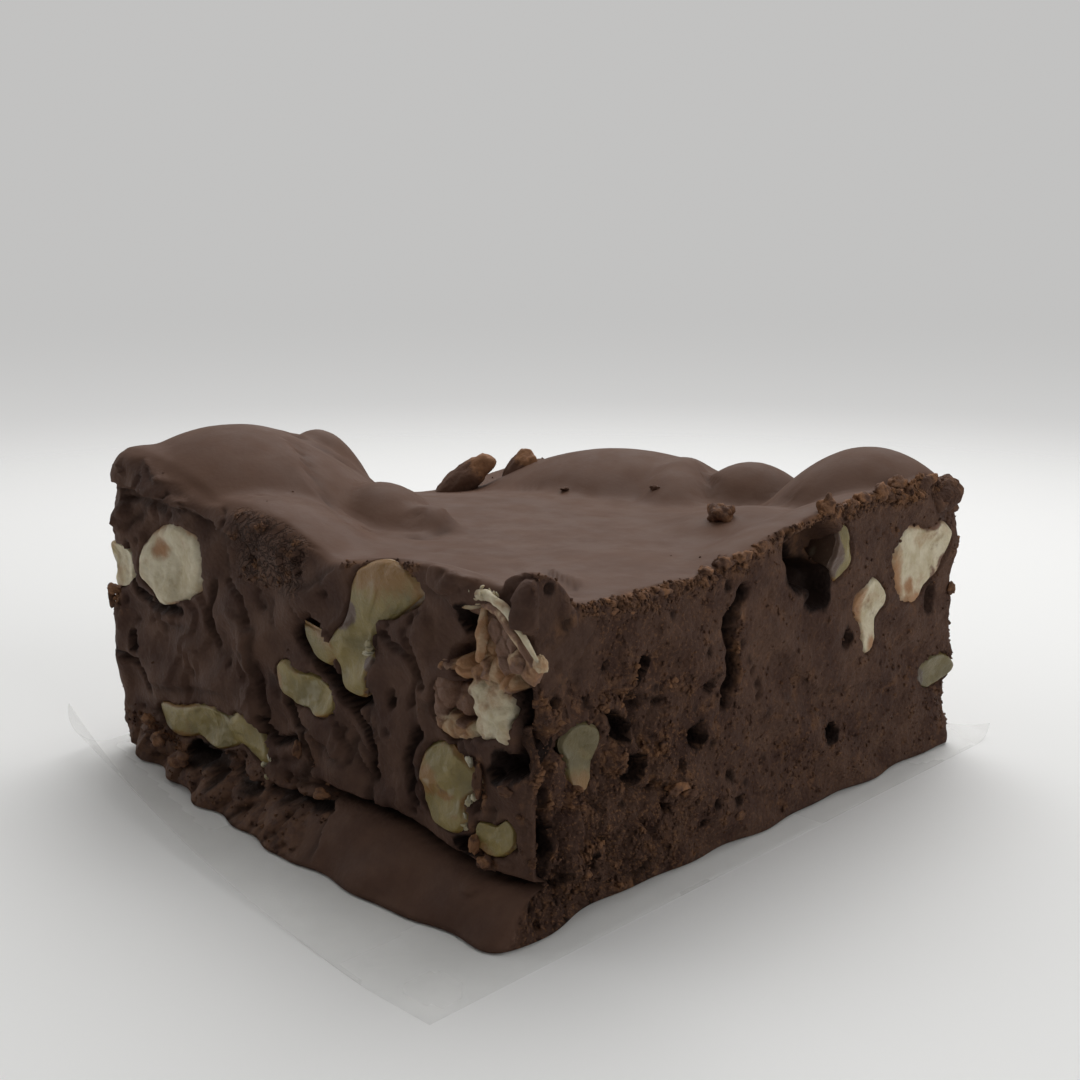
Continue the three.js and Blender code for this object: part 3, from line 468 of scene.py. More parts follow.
def side_reach(p, out):
    """How far a side stands out from its wall: crossing sine waves, the west bulge and the feet drawn
    in."""
    x, y, z = p.T
    west, east, north = over(-out[:, 0]), over(out[:, 0]), over(out[:, 1])
    crags = sum(size * np.sin(2 * math.pi * (x / wx + y / wy + z / wz) + shift)
                for size, wx, wy, wz, shift in CRAG_WAVES)
    reach, middle, spread = WEST_BULGE
    bulge = reach * west * bell(z - middle, spread)
    reach, middle, spread, flare = EAST_UNDERCUT
    drawn = reach * bell(y - middle, spread) - flare * smooth(0, HALF[1], y)
    undercut = west * UNDERCUT["west"] + east * drawn + north * UNDERCUT["north"]
    reach, low, high = NORTH_NECK
    neck = reach * smooth(0, HALF[0], x) * smooth(low, high, z)
    return crags + bulge - undercut * (1 - smooth(0, UNDERCUT["height"], z)) - north * neck


def on_side(side, along, up, out):
    """A point on a side's axes, as a point of the slab."""
    (ax, ay), (ox, oy), wall = SIDES[side]
    away = wall + out
    return stack(along * ax + away * ox, along * ay + away * oy, up + 0 * along)


def along_side(side, p):
    """How far along a side a point of the slab lies."""
    (ax, ay), _, _ = SIDES[side]
    return p[..., 0] * ax + p[..., 1] * ay


def lobe_field(lobes, along, up, out):
    """How deep a point lies inside a lump: the logarithm of a sum of exp(3 (1 - reach^2 - (out / depth)^2))
    over its lobes, divided by 3. It is 0 on the lump's surface and 1 at the middle of a lobe."""
    total = 0
    for a, u, length, height, depth, turn in lobes:
        reach = ellipse_reach(along, up, a, u, length, height, turn) + (out / depth) ** 2
        total = total + np.exp(LOBE_SHARPNESS * (1 - reach))
    return np.log(np.maximum(total, 1e-9)) / LOBE_SHARPNESS


def crowded(low, high, step, spots):
    """Places from low to high, evenly spaced in the running sum of a density: 1 / step, raised by a bell
    curve at each spot (place, spread, extra). Their number of steps is a multiple of eight."""
    at = np.linspace(low, high, 2001)
    density = (1 + sum(extra * bell(at - place, spread) for place, spread, extra in spots)) / step
    total = np.concatenate([[0], np.cumsum((density[1:] + density[:-1]) / 2 * np.diff(at))])
    count = 8 * int(round(total[-1] / 8))
    return np.interp(np.linspace(0, total[-1], count + 1), total, at)


def bands(rings):
    """Quads between neighbouring rings of point numbers, each ring closed on itself."""
    after = np.roll(rings, -1, axis=1)
    return stack(rings[:-1], after[:-1], after[1:], rings[1:]).reshape(-1, 4)


def fan(ring, pole):
    """Triangles from a closed ring of point numbers to a pole."""
    return stack(ring, np.roll(ring, -1), np.full(len(ring), pole))


def slab_grid(step):
    """The upright box that the slab is shaped from: rows of points round its sides, then rings on its top
    that shrink to the middle and halve their number of points three times. Lines are wider apart on the far
    sides, and crowd at the front edges and where the foot's crack runs. Returns points, quads, triangles
    and lowest ring."""
    wide, deep, high = HALF
    far_step = 1.5 * step
    south = crowded(-wide, wide, step, [(-wide, 1.6, 0.9), (wide, 1.8, 1.2)])
    east = crowded(-deep, deep, step, [(-deep, 2.0, 1.2), (deep, 1.2, 0.6)])
    north = crowded(-wide, wide, far_step, [(-wide, 1.6, 0.8), (wide, 1.6, 0.8)])
    west = crowded(-deep, deep, far_step, [(-deep, 1.6, 0.8), (deep, 1.6, 0.8)])
    levels = crowded(-high, high, step, [(-high + 5.3, 1.5, 1.5), (high, 2.0, 1.2)])
    x = np.concatenate([south[:-1], 0 * east[1:] + wide, north[:0:-1], 0 * west[1:] - wide])
    y = np.concatenate([0 * south[1:] - deep, east[:-1], 0 * north[1:] + deep, west[:0:-1]])
    points = [stack(*np.broadcast_arrays(x, y, levels[:, None])).reshape(-1, 3)]
    rows = np.arange(len(points[0])).reshape(-1, len(x))
    quads, triangles = [bands(rows)], []
    total, outer, share, gap = rows.size, rows[-1], 1.0, 0.9 * step / wide
    for rings in TOP_RINGS:
        halved = rings != TOP_RINGS[0]
        for ring in range(rings + halved):
            if halved and ring == 0:
                gap *= 1.5
                x, y = x[::2], y[::2]
                share -= gap
            else:
                share = max(share - gap, 0.02)
            inner = total + np.arange(len(x))
            points.append(stack(x * share, y * share, 0 * x + high))
            total += len(x)
            if halved and ring == 0:
                left, middle, right = outer[::2], outer[1::2], np.roll(outer, -2)[::2]
                turned = np.roll(inner, -1)
                corners = ((left, middle, inner), (middle, turned, inner), (middle, right, turned))
                triangles += [stack(*three) for three in corners]
            else:
                quads.append(bands(np.array([outer, inner])))
                if rings == TOP_RINGS[-1]:
                    gap = min(gap * 1.12, share / 3)
            outer = inner
    points.append(np.array([[0.0, 0.0, high]]))
    triangles.append(fan(outer, total))
    return np.concatenate(points), np.concatenate(quads), np.concatenate(triangles), rows[0]


def close_underside(points, quads, triangles, ring):
    """Closes the underside: the lowest ring repeated at two smaller sizes round its middle, then triangles
    to it."""
    middle = points[ring].mean(axis=0)
    middle[2] = FLOOR
    rings = np.array([ring, *(len(points) + k * len(ring) + np.arange(len(ring)) for k in range(2))])
    shrunk = [middle + (points[ring] - middle) * share for share in (0.92, 0.6)]
    points = np.concatenate([points, *shrunk, middle[None, :]])
    under = bands(rings)[:, [0, 3, 2, 1]]
    centre = fan(rings[-1], len(points) - 1)[:, [0, 2, 1]]
    return points, np.concatenate([quads, under]), np.concatenate([triangles, centre])


def slab_shape(box):
    """Shapes the box: its edges are rounded by moving a point along the way out of the box shrunk by the
    edge's radius, its heights are stretched to the top, and its sides take their reach and the foot.
    Returns the points and the ways out."""
    radius = 1.0 + 1.3 * smooth(-12, 34, -box[:, 1]) * smooth(-34, 10, -box[:, 0])
    inner = HALF - radius[:, None]
    low = -inner
    low[:, 2] = -9 * HALF[2]
    core = np.clip(box, low, inner)
    out = box - core
    out /= np.linalg.norm(out, axis=1)[:, None]
    p = core + out * radius[:, None]
    share = (p[:, 2] + HALF[2]) / (2 * HALF[2])
    p[:, 2] = FLOOR + share * (top_height(p[:, 0], p[:, 1]) - FLOOR)
    reach = side_reach(p, out)
    p[:, 0] += out[:, 0] * reach
    p[:, 1] += out[:, 1] * reach
    p[:, 1] -= over(-out[:, 1]) * foot_reach(p[:, 0], p[:, 2])[0]
    return p, out


def uneven(side, along, up):
    """Places on a side shifted a little by uneven values, so that outlines drawn there wander."""
    spot = stack(along, up, 0 * along + 50 * list(SIDES).index(side))
    return along + 0.55 * cloud(spot, 3.2, 67, 2), up + 0.55 * cloud(spot, 3.2, 68, 2)


def step_along(a, u, path, rise, fade, soft=0.22):
    """A step along a path: its left side stands higher than its right side, each fading away from the path,
    and towards its ends. Returns the step and how much each point lies close under it, a mask for painted
    shadow."""
    away, left = path_distance(a, u, path)
    first, last = (smooth(0, 2.5, np.hypot(a - end[0], u - end[1])) for end in (path[0], path[-1]))
    ends = first * last * smooth(1.4, 0.2, away - np.abs(left))
    under = bell(away, 0.7) * smooth(0.1, -0.3, left * math.copysign(1, rise)) * ends * min(1, abs(rise))
    return rise * (smooth(-soft, soft, left) - 0.5) * np.exp(-away / fade) * ends, 0.8 * under


def side_relief(side, p):
    """Relief of one side: steps, cracks and holes along uneven paths, and pockets where nuts and
    marshmallows lie. Returns the relief and masks: inside a pocket, painted shade (deep in a hole or crack,
    and close under a step), rusty, and calm inside a large hole."""
    along, up = along_side(side, p), p[:, 2]
    a = along + 0.24 * cloud(p, 1.4, 71, 2) + 0.24 * cloud(p, 5, 72, 2)
    u = up + 0.24 * cloud(p, 1.4, 73, 2) + 0.24 * cloud(p, 5, 74, 2)
    relief, deep, rust, calm, pocket = np.zeros((5, len(p)))
    for path, rise, fade in SMEARS[side]:
        step, under = step_along(a, u, path, rise, fade)
        relief += step
        # Painted shadow close under the smear's step.
        deep = np.maximum(deep, under)
    for path, width, depth in CRACKS[side]:
        away, _ = path_distance(a, u, path)
        relief -= depth * smooth(1.6 * width, 0.2 * width, away)
        # Painted shade in the crack.
        shade = min(1, depth / 1.5) * (1 if depth > 1.15 else 0.6)
        deep = np.maximum(deep, smooth(1.6 * width, 1.05 * width, away) * shade)
    wall = (-0.2, 0.85) if side == "south" else (-0.1, 0.55)
    for a0, u0, length, height, depth, turn in HOLES[side]:
        wider = 1.25 if 1.1 < depth and height < 2.2 else 1
        inward = 1 - ellipse_reach(a, u, a0, u0, wider * length, wider * height, turn)
        inside = over(inward)
        relief -= depth * (smooth(*wall, inward) if depth > 0 else np.sqrt(np.minimum(1, 1.8 * inside)))
        if depth > 0:
            # Painted shade inside the hole.
            shade = 0.35 * smooth(0.02, 0.3, inside) if height > 3 else smooth(-0.7, -0.25, inward)
            deep = np.maximum(deep, shade * min(1, depth / 1.6))
        if min(length, height) > 1.9:
            calm = np.maximum(calm, smooth(0, 0.15, inside))
    for path, width, amount in RUST[side]:
        rust = np.maximum(rust, amount * bell(path_distance(a, u, path)[0], width))
    wander = uneven(side, along, up)
    for lump_side, *lobes in (*WALNUTS.values(), *MARSHMALLOWS.values(), TORN_POCKET):
        if lump_side == side:
            pocket = np.maximum(pocket, smooth(0.03, 0.24, lobe_field(lobes, *wander, 0)))
    return relief, np.array([pocket, deep, rust, calm])


def edge_pocket(p):
    """How much a point of the south side lies in the pocket of the marshmallow at the west corner."""
    side, *lobes = MARSHMALLOWS["marshmallow_south_edge"]
    along, up = uneven("west", along_side("west", p), p[:, 2])
    return smooth(-0.02, 0.2, lobe_field(lobes, along, up, -p[:, 0] - SIDES["west"][2]))


def cut_relief(p, ledge):
    """Relief of a smooth cut: dragged folds, terraces, nicks and creases, and clods on the ledge. Returns
    it, and how deep in a nick or crease each point is, a mask for painted shade."""
    x, y, z = p.T
    drag = stack(0.57 * x - 0.82 * z, 0.82 * x + 0.57 * z, y)
    flow = 1.5 * cloud(p / [1, 1, 1.3], 11, 15, 2) + 0.5 * cloud(p, 4, 16, 2) + 0.06 * (x + y - z)
    layer = 2.0 * flow - np.floor(2.0 * flow)
    folds = 1 - 2 * np.abs(cloud(p, 5.5, 18, 2))
    cut = 0.3 * cloud(p, 6.5, 11) + 0.15 * cloud(p, 2.2, 12) + 0.2 * folds
    cut = cut + 0.07 * cloud(drag / [5.0, 1.6, 3.0], 1, 13)
    cut = cut + 0.65 * smooth(0.0, 0.35, cloud(p, 8, 17, 2)) * (layer - 0.5)
    spot, _, own = grains(p, 2.2, 26)
    nick = smooth(0.3, 0.12, spot) * (own > 0.66)
    crease = smooth(0.1, 0.0, np.abs(cloud(drag / [1.8, 0.8, 1], 7, 33, 3)))
    crease = crease * smooth(0.0, 0.4, cloud(p, 9, 34, 2))
    crease = crease * (1 - smooth(-14, -11, x) * smooth(6, 3, x) * smooth(24.5, 27, z))
    clods, gap, own = grains(p * [1, 1, 1.2], 4.2, 27)
    clods = ledge * (1.1 * (0.45 - clods) + 0.7 * (own - 0.5) - 0.6 * smooth(0.16, 0.0, gap))
    return 0.85 * (cut - 0.6 * nick) - 0.5 * crease, clods, np.maximum(0.6 * crease, 0.5 * nick)


def crumb_relief(p, west_end):
    """Relief of torn crumb: packed grains of two sizes, pits, blocks at the west end and streaks. Returns
    it, how deep in a pit or between blocks each point is, masks for painted shade, and rust along the
    blocks' edges."""
    _, y, z = p.T
    big, _, big_own = grains(p, 2.1, 21)
    small, _, small_own = grains(p, 1.05, 22)
    crumbs = 0.75 * (0.5 - big) * (0.3 + 1.1 * big_own) + 0.75 * (0.45 - small) * (0.2 + 1.1 * small_own)
    pit, _, pit_own = grains(p, 2.6, 30)
    crumbs = crumbs - 1.3 * smooth(0.26, 0.14, pit) * (pit_own > 0.6) * smooth(4, -8, y)
    _, gap, own = grains(p * [1, 1, 0.8], 3.4, 35)
    crumbs = crumbs + west_end * (0.9 * (own - 0.5) - 1.0 * smooth(0.2, 0.02, gap))
    streaks = cloud(p / [0.9, 0.8, 6.0], 1, 14) * smooth(-20, -30, y) * smooth(17, 9, z)
    crumbs = crumbs + 0.32 * cloud(p, 3.4, 23, 2) + 0.2 * cloud(p, 1.1, 25, 1) + 0.8 * streaks
    pits = smooth(0.32, 0.22, pit) * (pit_own > 0.6) * smooth(4, -8, y)
    gaps = west_end * smooth(0.14, 0.02, gap) * smooth(0.1, 0.5, cloud(p, 5, 36, 2))
    return crumbs, pits, gaps, 0.5 * west_end * (own > 0.7) * smooth(0.45, 0.2, gap)


def top_relief(p):
    """Relief of the top: soft waves, creases, steps and small pits. Returns it and how close under a step
    it is, a mask for painted shadow."""
    x, y, _ = p.T
    relief = 0.14 * cloud(p, 13, 41) + 0.05 * cloud(p, 3.5, 42)
    a, u = x + 0.5 * cloud(p, 4, 43), y + 0.5 * cloud(p, 4, 44)
    for path, width, depth in TOP_CREASES:
        relief = relief - depth * bell(path_distance(a, u, path)[0], width)
    deep = np.zeros(len(p))
    for path, rise, fade in TOP_STEPS:
        step, under = step_along(a, u, path, rise, fade, 0.4)
        relief = relief + step
        deep = np.maximum(deep, under)
    for cx, cy, rx, ry, depth, turn in TOP_PITS:
        relief = relief - depth * np.sqrt(over(1 - ellipse_reach(a, u, cx, cy, rx, ry, turn)))
    return relief, deep


def slab_relief(p, out, strength):
    """The whole relief of the slab, along the ways out, and masks from 0 to 1 for its finish: how crumbly,
    how rusty with loose crumbs, how smooth, how crackled, and how much painted shade each point takes, deep
    in a hole, crack, pit or crease, under a step, in the foot's crack and a little on a flat east facet."""
    x, y, z = p.T
    weight = {side: smooth(0.35, 0.8, out[:, 0] * ox + out[:, 1] * oy)
              for side, (_, (ox, oy), _) in SIDES.items()}
    south, east, north, _ = weight.values()
    top = smooth(0.35, 0.9, out[:, 2])
    rough, marks = 0, np.zeros((4, len(p)))
    for side, amount in weight.items():
        part, more = side_relief(side, p)
        rough = rough + amount * part
        marks = np.maximum(marks, amount * more)
    pocket, deep, rusty, calm = marks
    pocket = np.maximum(pocket, south * edge_pocket(p))
    # Painted shade in the foot's crack.
    deep = np.maximum(deep, south * smooth(0.25, 0.8, foot_reach(x, z)[1]))
    # The flat facet high on the east side, near its south end, is darkened a little towards the painted
    # shade colour.
    facet = smooth(-28.5, -31.5, y) * smooth(23, 25.5, z)
    deep = np.maximum(deep, 0.3 * facet * east)

    coarse = (0.55 + 0.45 * smooth(-6, -20, y)) * (0.7 + 0.3 * smooth(22, 9, z)) * (1 - 0.7 * facet)
    crumble = east * coarse + north * (0.5 + 0.3 * cloud(p, 14, 31))
    tongue = south * smooth(3, 9, x) * (1 - smooth(5.6, 6.6, z))
    ledge = south * (1 - smooth(4.5, 7.0, z)) * (1 - smooth(3, 8, x))
    corner = np.exp(-((x - HALF[0]) ** 2 + (y + HALF[1]) ** 2) / 7.0) * smooth(5, 9, z) * smooth(29, 25, z)
    crumble = np.clip(crumble * (1 - 0.8 * ledge) + 0.4 * corner * south, 0, 1) * (1 - calm)
    west_end = smooth(-12, -24, y) * smooth(27, 20, z) * east

    cut, clods, cut_deep = cut_relief(p, ledge)
    cut = cut * (1 - 0.8 * tongue) * (1 - calm) + clods
    crumbs, pits, gaps, block_rust = crumb_relief(p, west_end)
    # Painted shade in pits, between the blocks, and in the south cut's nicks and creases.
    shade = np.maximum(east * pits, gaps)
    deep = np.maximum(deep, np.maximum(0.85 * shade, cut_deep * south * (1 - tongue)))
    relief = np.clip(sum(weight.values()), 0, 1) * (cut * (1 - crumble) + crumbs * crumble) + rough
    relief = relief + 0.8 * corner * cloud(p / [1, 1, 1.6], 2.2, 29, 2) - 2.2 * pocket
    on_top, under = top_relief(p)
    # Painted shadow close under the top's steps.
    deep = np.maximum(deep, 0.6 * top * under)
    relief = relief + top * on_top

    east_rim = np.maximum(east, smooth(0.2, 0.5, out[:, 0]) * top) * (1 - 0.6 * calm)
    rim = bell(top_height(x, y) - z, 1.5) * east_rim * (0.35 + 0.65 * smooth(-31, -26, y))
    ragged = over(cloud(p, 2.3, 51, 3)) * (0.3 + 0.7 * smooth(-29, -24, y))
    relief = relief + rim * (1.0 * ragged - 0.6 * over(cloud(p, 2.9, 52, 2)))
    crackle = smooth(-12, -8, x) * smooth(3.6, 0.5, x) * smooth(26.4, 28.4, z)
    crackle = crackle * smooth(0.25, 0.7, -out[:, 1])
    _, gap, _ = grains(p * [1, 1, 1.4], 1.5, 24)
    relief = relief - 0.16 * crackle * smooth(0.3, 0.0, gap)
    relief = relief * np.where(out[:, 2] > 0.5, 1, smooth(FLOOR, FLOOR + 0.7, z)) * strength

    fray = smooth(0.2, 0.6, cloud(p, 1.3, 53, 2))
    rust = rim * (0.45 + 1.2 * ragged) + 0.5 * crumble * fray + 0.2 * ledge + block_rust
    rust = rust + rusty * (0.5 + 0.5 * fray) + 0.4 * corner * fray + 0.5 * crackle * fray
    masks = (crumble, rust, top + 0.5 * tongue + 0.5 * calm, crackle, deep)
    return relief, {mask: np.clip(values, 0, 1) for mask, values in zip(SLAB_MASKS, masks)}


# ---- Making meshes ----

def ball_grid(rows, columns):
    """Unit directions on a grid of latitude rows and longitude columns, with a pole at each end of the
    third axis. Returns directions and faces that point outwards."""
    polar = np.linspace(0, math.pi, rows + 1)[1:-1, None]
    turn = np.linspace(0, 2 * math.pi, columns, endpoint=False)
    x, y = np.sin(polar) * np.cos(turn), np.sin(polar) * np.sin(turn)
    rings = stack(x, y, np.cos(polar) + 0 * x).reshape(-1, 3)
    index = np.arange(len(rings)).reshape(rows - 1, columns)
    first, last = fan(index[0], len(rings)), fan(index[-1], len(rings) + 1)[:, [1, 0, 2]]
    points = np.concatenate([rings, [[0, 0, 1], [0, 0, -1]]])
    return points, bands(index)[:, [0, 3, 2, 1]], np.concatenate([first, last])


def tube_grid(rows, columns):
    """A tube's grid, with a pole at each end. Returns each point's share of the way from 0 to 1, its turn
    round the tube, and faces that point outwards for rings that turn left along the path."""
    share = np.repeat(np.arange(rows) / (rows - 1), columns)
    turn = np.tile(np.arange(columns) * 2 * math.pi / columns, rows)
    index = np.arange(rows * columns).reshape(rows, columns)
    first, last = fan(index[0], index.size)[:, [1, 0, 2]], fan(index[-1], index.size + 1)
    return share, turn, bands(index), np.concatenate([first, last])


def add_piece(name, points, quads, triangles, masks, material, slot, replaces=()):
    """Puts points in millimetres and faces into a mesh in metres, with each mask as a point attribute,
    shades it smooth, and sets it on the slab's body."""
    mesh = bpy.data.meshes.new(name)
    mesh.from_pydata((points / 1000).tolist(), [], quads.tolist() + triangles.tolist())
    for mask, values in masks.items():
        layer = mesh.attributes.new(mask, "FLOAT", "POINT")
        layer.data.foreach_set("value", np.ascontiguousarray(values, np.float32))
    mesh.polygons.foreach_set("use_smooth", np.ones(len(mesh.polygons), bool))
    mesh.materials.append(material)
    mesh.update()
    piece = bpy.data.objects.new(name, mesh)
    bpy.context.scene.collection.objects.link(piece)
    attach(piece, "root")
    for node in replaces:
        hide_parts(node)
    return piece


def join_parts(parts):
    """Joins lists of (points, quads, triangles, masks) into one set, each part's face numbers moved on."""
    points, quads, triangles, masks = zip(*parts)
    counts = [len(part) for part in points]
    starts = np.cumsum([0, *counts[:-1]])
    quads, triangles = (np.concatenate([part + start for part, start in zip(faces, starts)])
                        for faces in (quads, triangles))
    spread = {mask: [np.broadcast_to(part[mask], count) for part, count in zip(masks, counts)]
              for mask in masks[0]}
    joined = {mask: np.concatenate(values) for mask, values in spread.items()}
    return np.concatenate(points), quads, triangles, joined


def wall_level(side, points):
    """How far a side's crags, bulges and feet stand out from its wall at each point."""
    _, (ox, oy), _ = SIDES[side]
    return side_reach(points, np.tile([ox, oy, 0.0], (len(points), 1)))


def lump_surface(lump, seed, kind):
    """A cut nut or marshmallow: the surface where its lobes' field is 0, found by halving along each
    direction from its first lobe's middle, then pressed back to the cut side wherever it stands out of the
    slab. The cut face has its own relief and is a little rounded at its rim, where the chocolate laps over
    it."""
    side, *lobes = lump
    directions, quads, triangles = ball_grid(*LUMP_GRID)
    a0, u0 = lobes[0][:2]
    near, far = np.zeros(len(directions)), np.full(len(directions), HALF[0])
    for _ in range(HALVINGS):
        half = (near + far) / 2
        places = uneven(side, a0 + directions[:, 0] * half, u0 + directions[:, 1] * half)
        inside = lobe_field(lobes, *places, directions[:, 2] * half) > 0
        near, far = np.where(inside, half, near), np.where(inside, far, half)
    along, up, out = a0 + directions[:, 0] * near, u0 + directions[:, 1] * near, directions[:, 2] * near
    flat = on_side(side, along, up, 0 * along)
    field = lobe_field(lobes, *uneven(side, along, up), 0 * along)
    spot = flat + seed
    if kind == "walnut":
        ridge = 1 - np.abs(cloud(spot, 3.6, 62, 2)) * 2
        relief = 0.4 * cloud(spot, 3.0, 63) + 0.24 * ridge + 0.08 * cloud(spot, 0.8, 64) - 0.12
    else:
        relief = 0.4 * cloud(spot, 3.0, 65) + 0.16 * cloud(spot, 1.1, 66) + 0.06
    level = wall_level(side, flat) + relief - 0.5 * (1 - smooth(-0.02, 0.3, field))
    points = on_side(side, along, up, np.minimum(out, level))
    for other, (_, (ox, oy), wall) in SIDES.items():
        if other != side:
            away = points[:, 0] * ox + points[:, 1] * oy
            limit = wall + wall_level(other, points) - 0.1 + 0.3 * cloud(points, 2.0, 67)
            points = points + np.minimum(0, limit - away)[:, None] * np.array([ox, oy, 0.0])
    return points, quads, triangles, field, along, up


def blotches(points, rim, at_rim, all_over):
    """Uneven blotches at a lump's rim and all over it, each given as its amount, the two values that smooth
    takes, its size and its seed."""
    total = 0
    for share, (amount, low, high, size, seed) in ((rim, at_rim), (1, all_over)):
        total = total + amount * share * smooth(low, high, cloud(points, size, seed))
    return total


def stained(spots, along, up, amount):
    """An amount from 0 to 1, raised in each spot to 1 less half the square of how far out of its ellipse it
    is."""
    for spot in spots:
        amount = np.maximum(amount, 1 - 0.5 * ellipse_reach(along, up, *spot))
    return np.clip(amount, 0, 1)


def chunk(sizes, seed, rough, rows=28, columns=56):
    """A torn lump round the origin: an ellipsoid whose reach swells and shrinks with uneven values of the
    direction. Returns points, quads, triangles and directions."""
    directions, quads, triangles = ball_grid(rows, columns)
    reach = 1 + rough * cloud(directions + 3.1 * seed, 0.9, 81)
    reach = reach + 0.4 * rough * cloud(directions + seed, 0.3, 82)
    return directions * reach[:, None] * sizes, quads, triangles, directions


def blob(middle, sizes, turn, seed, rough):
    """A torn lump on the south side: its middle and sizes are along that side's axes, turned in its
    plane."""
    local, quads, triangles, _ = chunk(sizes, seed, rough)
    c, s = math.cos(math.radians(turn)), math.sin(math.radians(turn))
    along = middle[0] + local[:, 0] * c - local[:, 1] * s
    up = middle[1] + local[:, 0] * s + local[:, 1] * c
    return on_side("south", along, up, middle[2] + local[:, 2]), quads, triangles


def two_faced(columns, rows):
    """Faces of a sheet whose upper points come first and lower points after, each a grid of columns by
    rows."""
    grid = np.arange(columns * rows).reshape(columns, rows)
    upper = stack(grid[:-1, :-1], grid[1:, :-1], grid[1:, 1:], grid[:-1, 1:]).reshape(-1, 4)
    edge = np.concatenate([grid[:-1, 0], grid[-1, :-1], grid[:0:-1, -1], grid[0, :0:-1]])
    after = np.roll(edge, -1)
    wall = stack(edge + grid.size, after + grid.size, after, edge)
    return np.concatenate([upper, upper[:, ::-1] + grid.size, wall])


def torn_surface():
    """The torn marshmallow, as a height over its pocket in the south side. Every lump is a half ellipsoid
    that falls off steeply outside its outline. The height is the highest of them with rounded creases, with
    fine folds and curds. Smear and tan are mixed by exp(-1.6 reach) in places shifted by uneven values, so
    the stains flow from lump to lump. It is closed by a back."""
    columns, rows = TORN_GRID
    along, up = np.meshgrid(np.linspace(22, 36.2, columns), np.linspace(16.8, 33.0, rows), indexing="ij")
    along, up = along.ravel(), up.ravel()
    flat = on_side("south", along, up, 0 * along)
    a, u = along + 0.3 * cloud(flat, 1.3, 84, 2), up + 0.3 * cloud(flat, 1.3, 85, 2)
    spread = a + 0.7 * cloud(flat, 2.4, 88, 3), u + 0.7 * cloud(flat, 2.4, 89, 3)
    heights, shares = [], []
    for middle, level, out, length, height, depth, turn, _, _ in TORN_LUMPS:
        outline = (middle, level, length, height, turn)
        reach = ellipse_reach(a, u, *outline)
        heights.append(out + depth * np.sqrt(over(1 - reach)) - 4 * over(reach - 1))
        shares.append(np.exp(-1.6 * ellipse_reach(*spread, *outline)) + 1e-9)
    union, shares = rounded_most(np.array(heights), TORN_BLEND), np.array(shares)
    smear, tan = np.array([lump[-2:] for lump in TORN_LUMPS]).T @ shares / shares.sum(axis=0)
    fluff = 0.32 * cloud(flat, 2.2, 86, 3) + 0.24 * (1 - 2 * np.abs(cloud(flat, 1.5, 87, 3)))
    curd, gap, own = grains(stack(a, u, 0 * a), 1.9, 90)
    curds = 0.5 * (0.45 - curd) + 0.3 * (own - 0.5) - 0.3 * smooth(0.2, 0.0, gap)
    fluff = fluff + curds * (0.3 + 0.7 * smooth(0.1, 0.5, tan))
    smear = smear + 0.35 * (own > 0.72) * (tan > 0.25)
    surface = np.maximum(union - 0.3 + fluff * (1 - 0.4 * smear), -6 + 4.8 * smooth(28, 30.8, up))
    crevice = smooth(-1.0, -2.2, union)
    smear, tan = np.maximum(smear, 0.9 * crevice), np.maximum(tan, crevice)
    points = np.concatenate([on_side("south", along, up, surface - behind) for behind in (0, 0.6)])
    return points, two_faced(columns, rows), np.tile(smear, 2), np.tile(tan, 2)


def pointed(middle, way, length, width, seed):
    """A torn knob: an uneven lump stretched along a way. Returns points, quads, triangles and how far each
    point lies towards its tip, from -1 to 1."""
    local, quads, triangles, directions = chunk((width, width * 0.9, length), seed, 0.2)
    local[:, :2] *= (1 + 0.45 * np.abs(directions[:, 2:]) ** 3)
    ahead = np.array(way) / np.linalg.norm(way)
    across = np.cross(ahead, [0, 0, 1.0])
    across /= np.linalg.norm(across)
    axes = np.stack([across, np.cross(ahead, across), ahead])
    points = np.array(middle) + local @ axes
    grain, _, _ = grains(points, 1.2, 93)
    points = points + 0.14 * (0.5 - grain)[:, None] * (directions @ axes)
    return points, quads, triangles, directions[:, 2]


def smooth_path(path, share):
    """Points along a path through its given points: cubic curves whose slope at a point is half the step
    between its neighbours (Catmull-Rom)."""
    stops = np.array(path, float)
    stops = np.concatenate([[2 * stops[0] - stops[1]], stops, [2 * stops[-1] - stops[-2]]])
    at = np.clip(share, 0, 1 - 1e-9) * (len(path) - 1)
    k = at.astype(int)
    t = (at - k)[:, None]
    p0, p1, p2, p3 = (stops[k + step] for step in range(4))
    bend = (2 * p0 - 5 * p1 + 4 * p2 - p3) * t**2
    return 0.5 * (2 * p1 + (p2 - p0) * t + bend + (3 * p1 - p0 - 3 * p2 + p3) * t**3)


def strand(path, radius, seed, rows=90, columns=20, flat=0.6):
    """A pulled strand: rings carried along a smooth path on the south side's axes, thin at both ends,
    flattened outwards, with uneven radii."""
    share, turn, quads, triangles = tube_grid(rows, columns)
    middle = smooth_path(path, share)
    ahead = smooth_path(path, np.minimum(1, share + 0.01)) - smooth_path(path, over(share - 0.01))
    ahead /= np.linalg.norm(ahead, axis=1)[:, None]
    across = np.cross(ahead, np.array([0, 0, 1.0]))
    across /= np.linalg.norm(across, axis=1)[:, None]
    outward = np.cross(across, ahead)
    c, s = np.cos(turn)[:, None], np.sin(turn)[:, None]
    spot = middle + 0.8 * c * across + 0.8 * s * outward
    thickness = radius * (0.35 + 0.65 * np.sin(math.pi * share) ** 0.7)
    thickness = thickness * (1 + 0.4 * cloud(spot + seed, 1.3, 83))
    rings = middle + thickness[:, None] * (c * across + flat * s * outward)
    local = np.concatenate([rings, smooth_path(path, np.array([0.0, 1.0]))])
    return on_side("south", *local.T), quads, triangles


# ---- Finishes ----

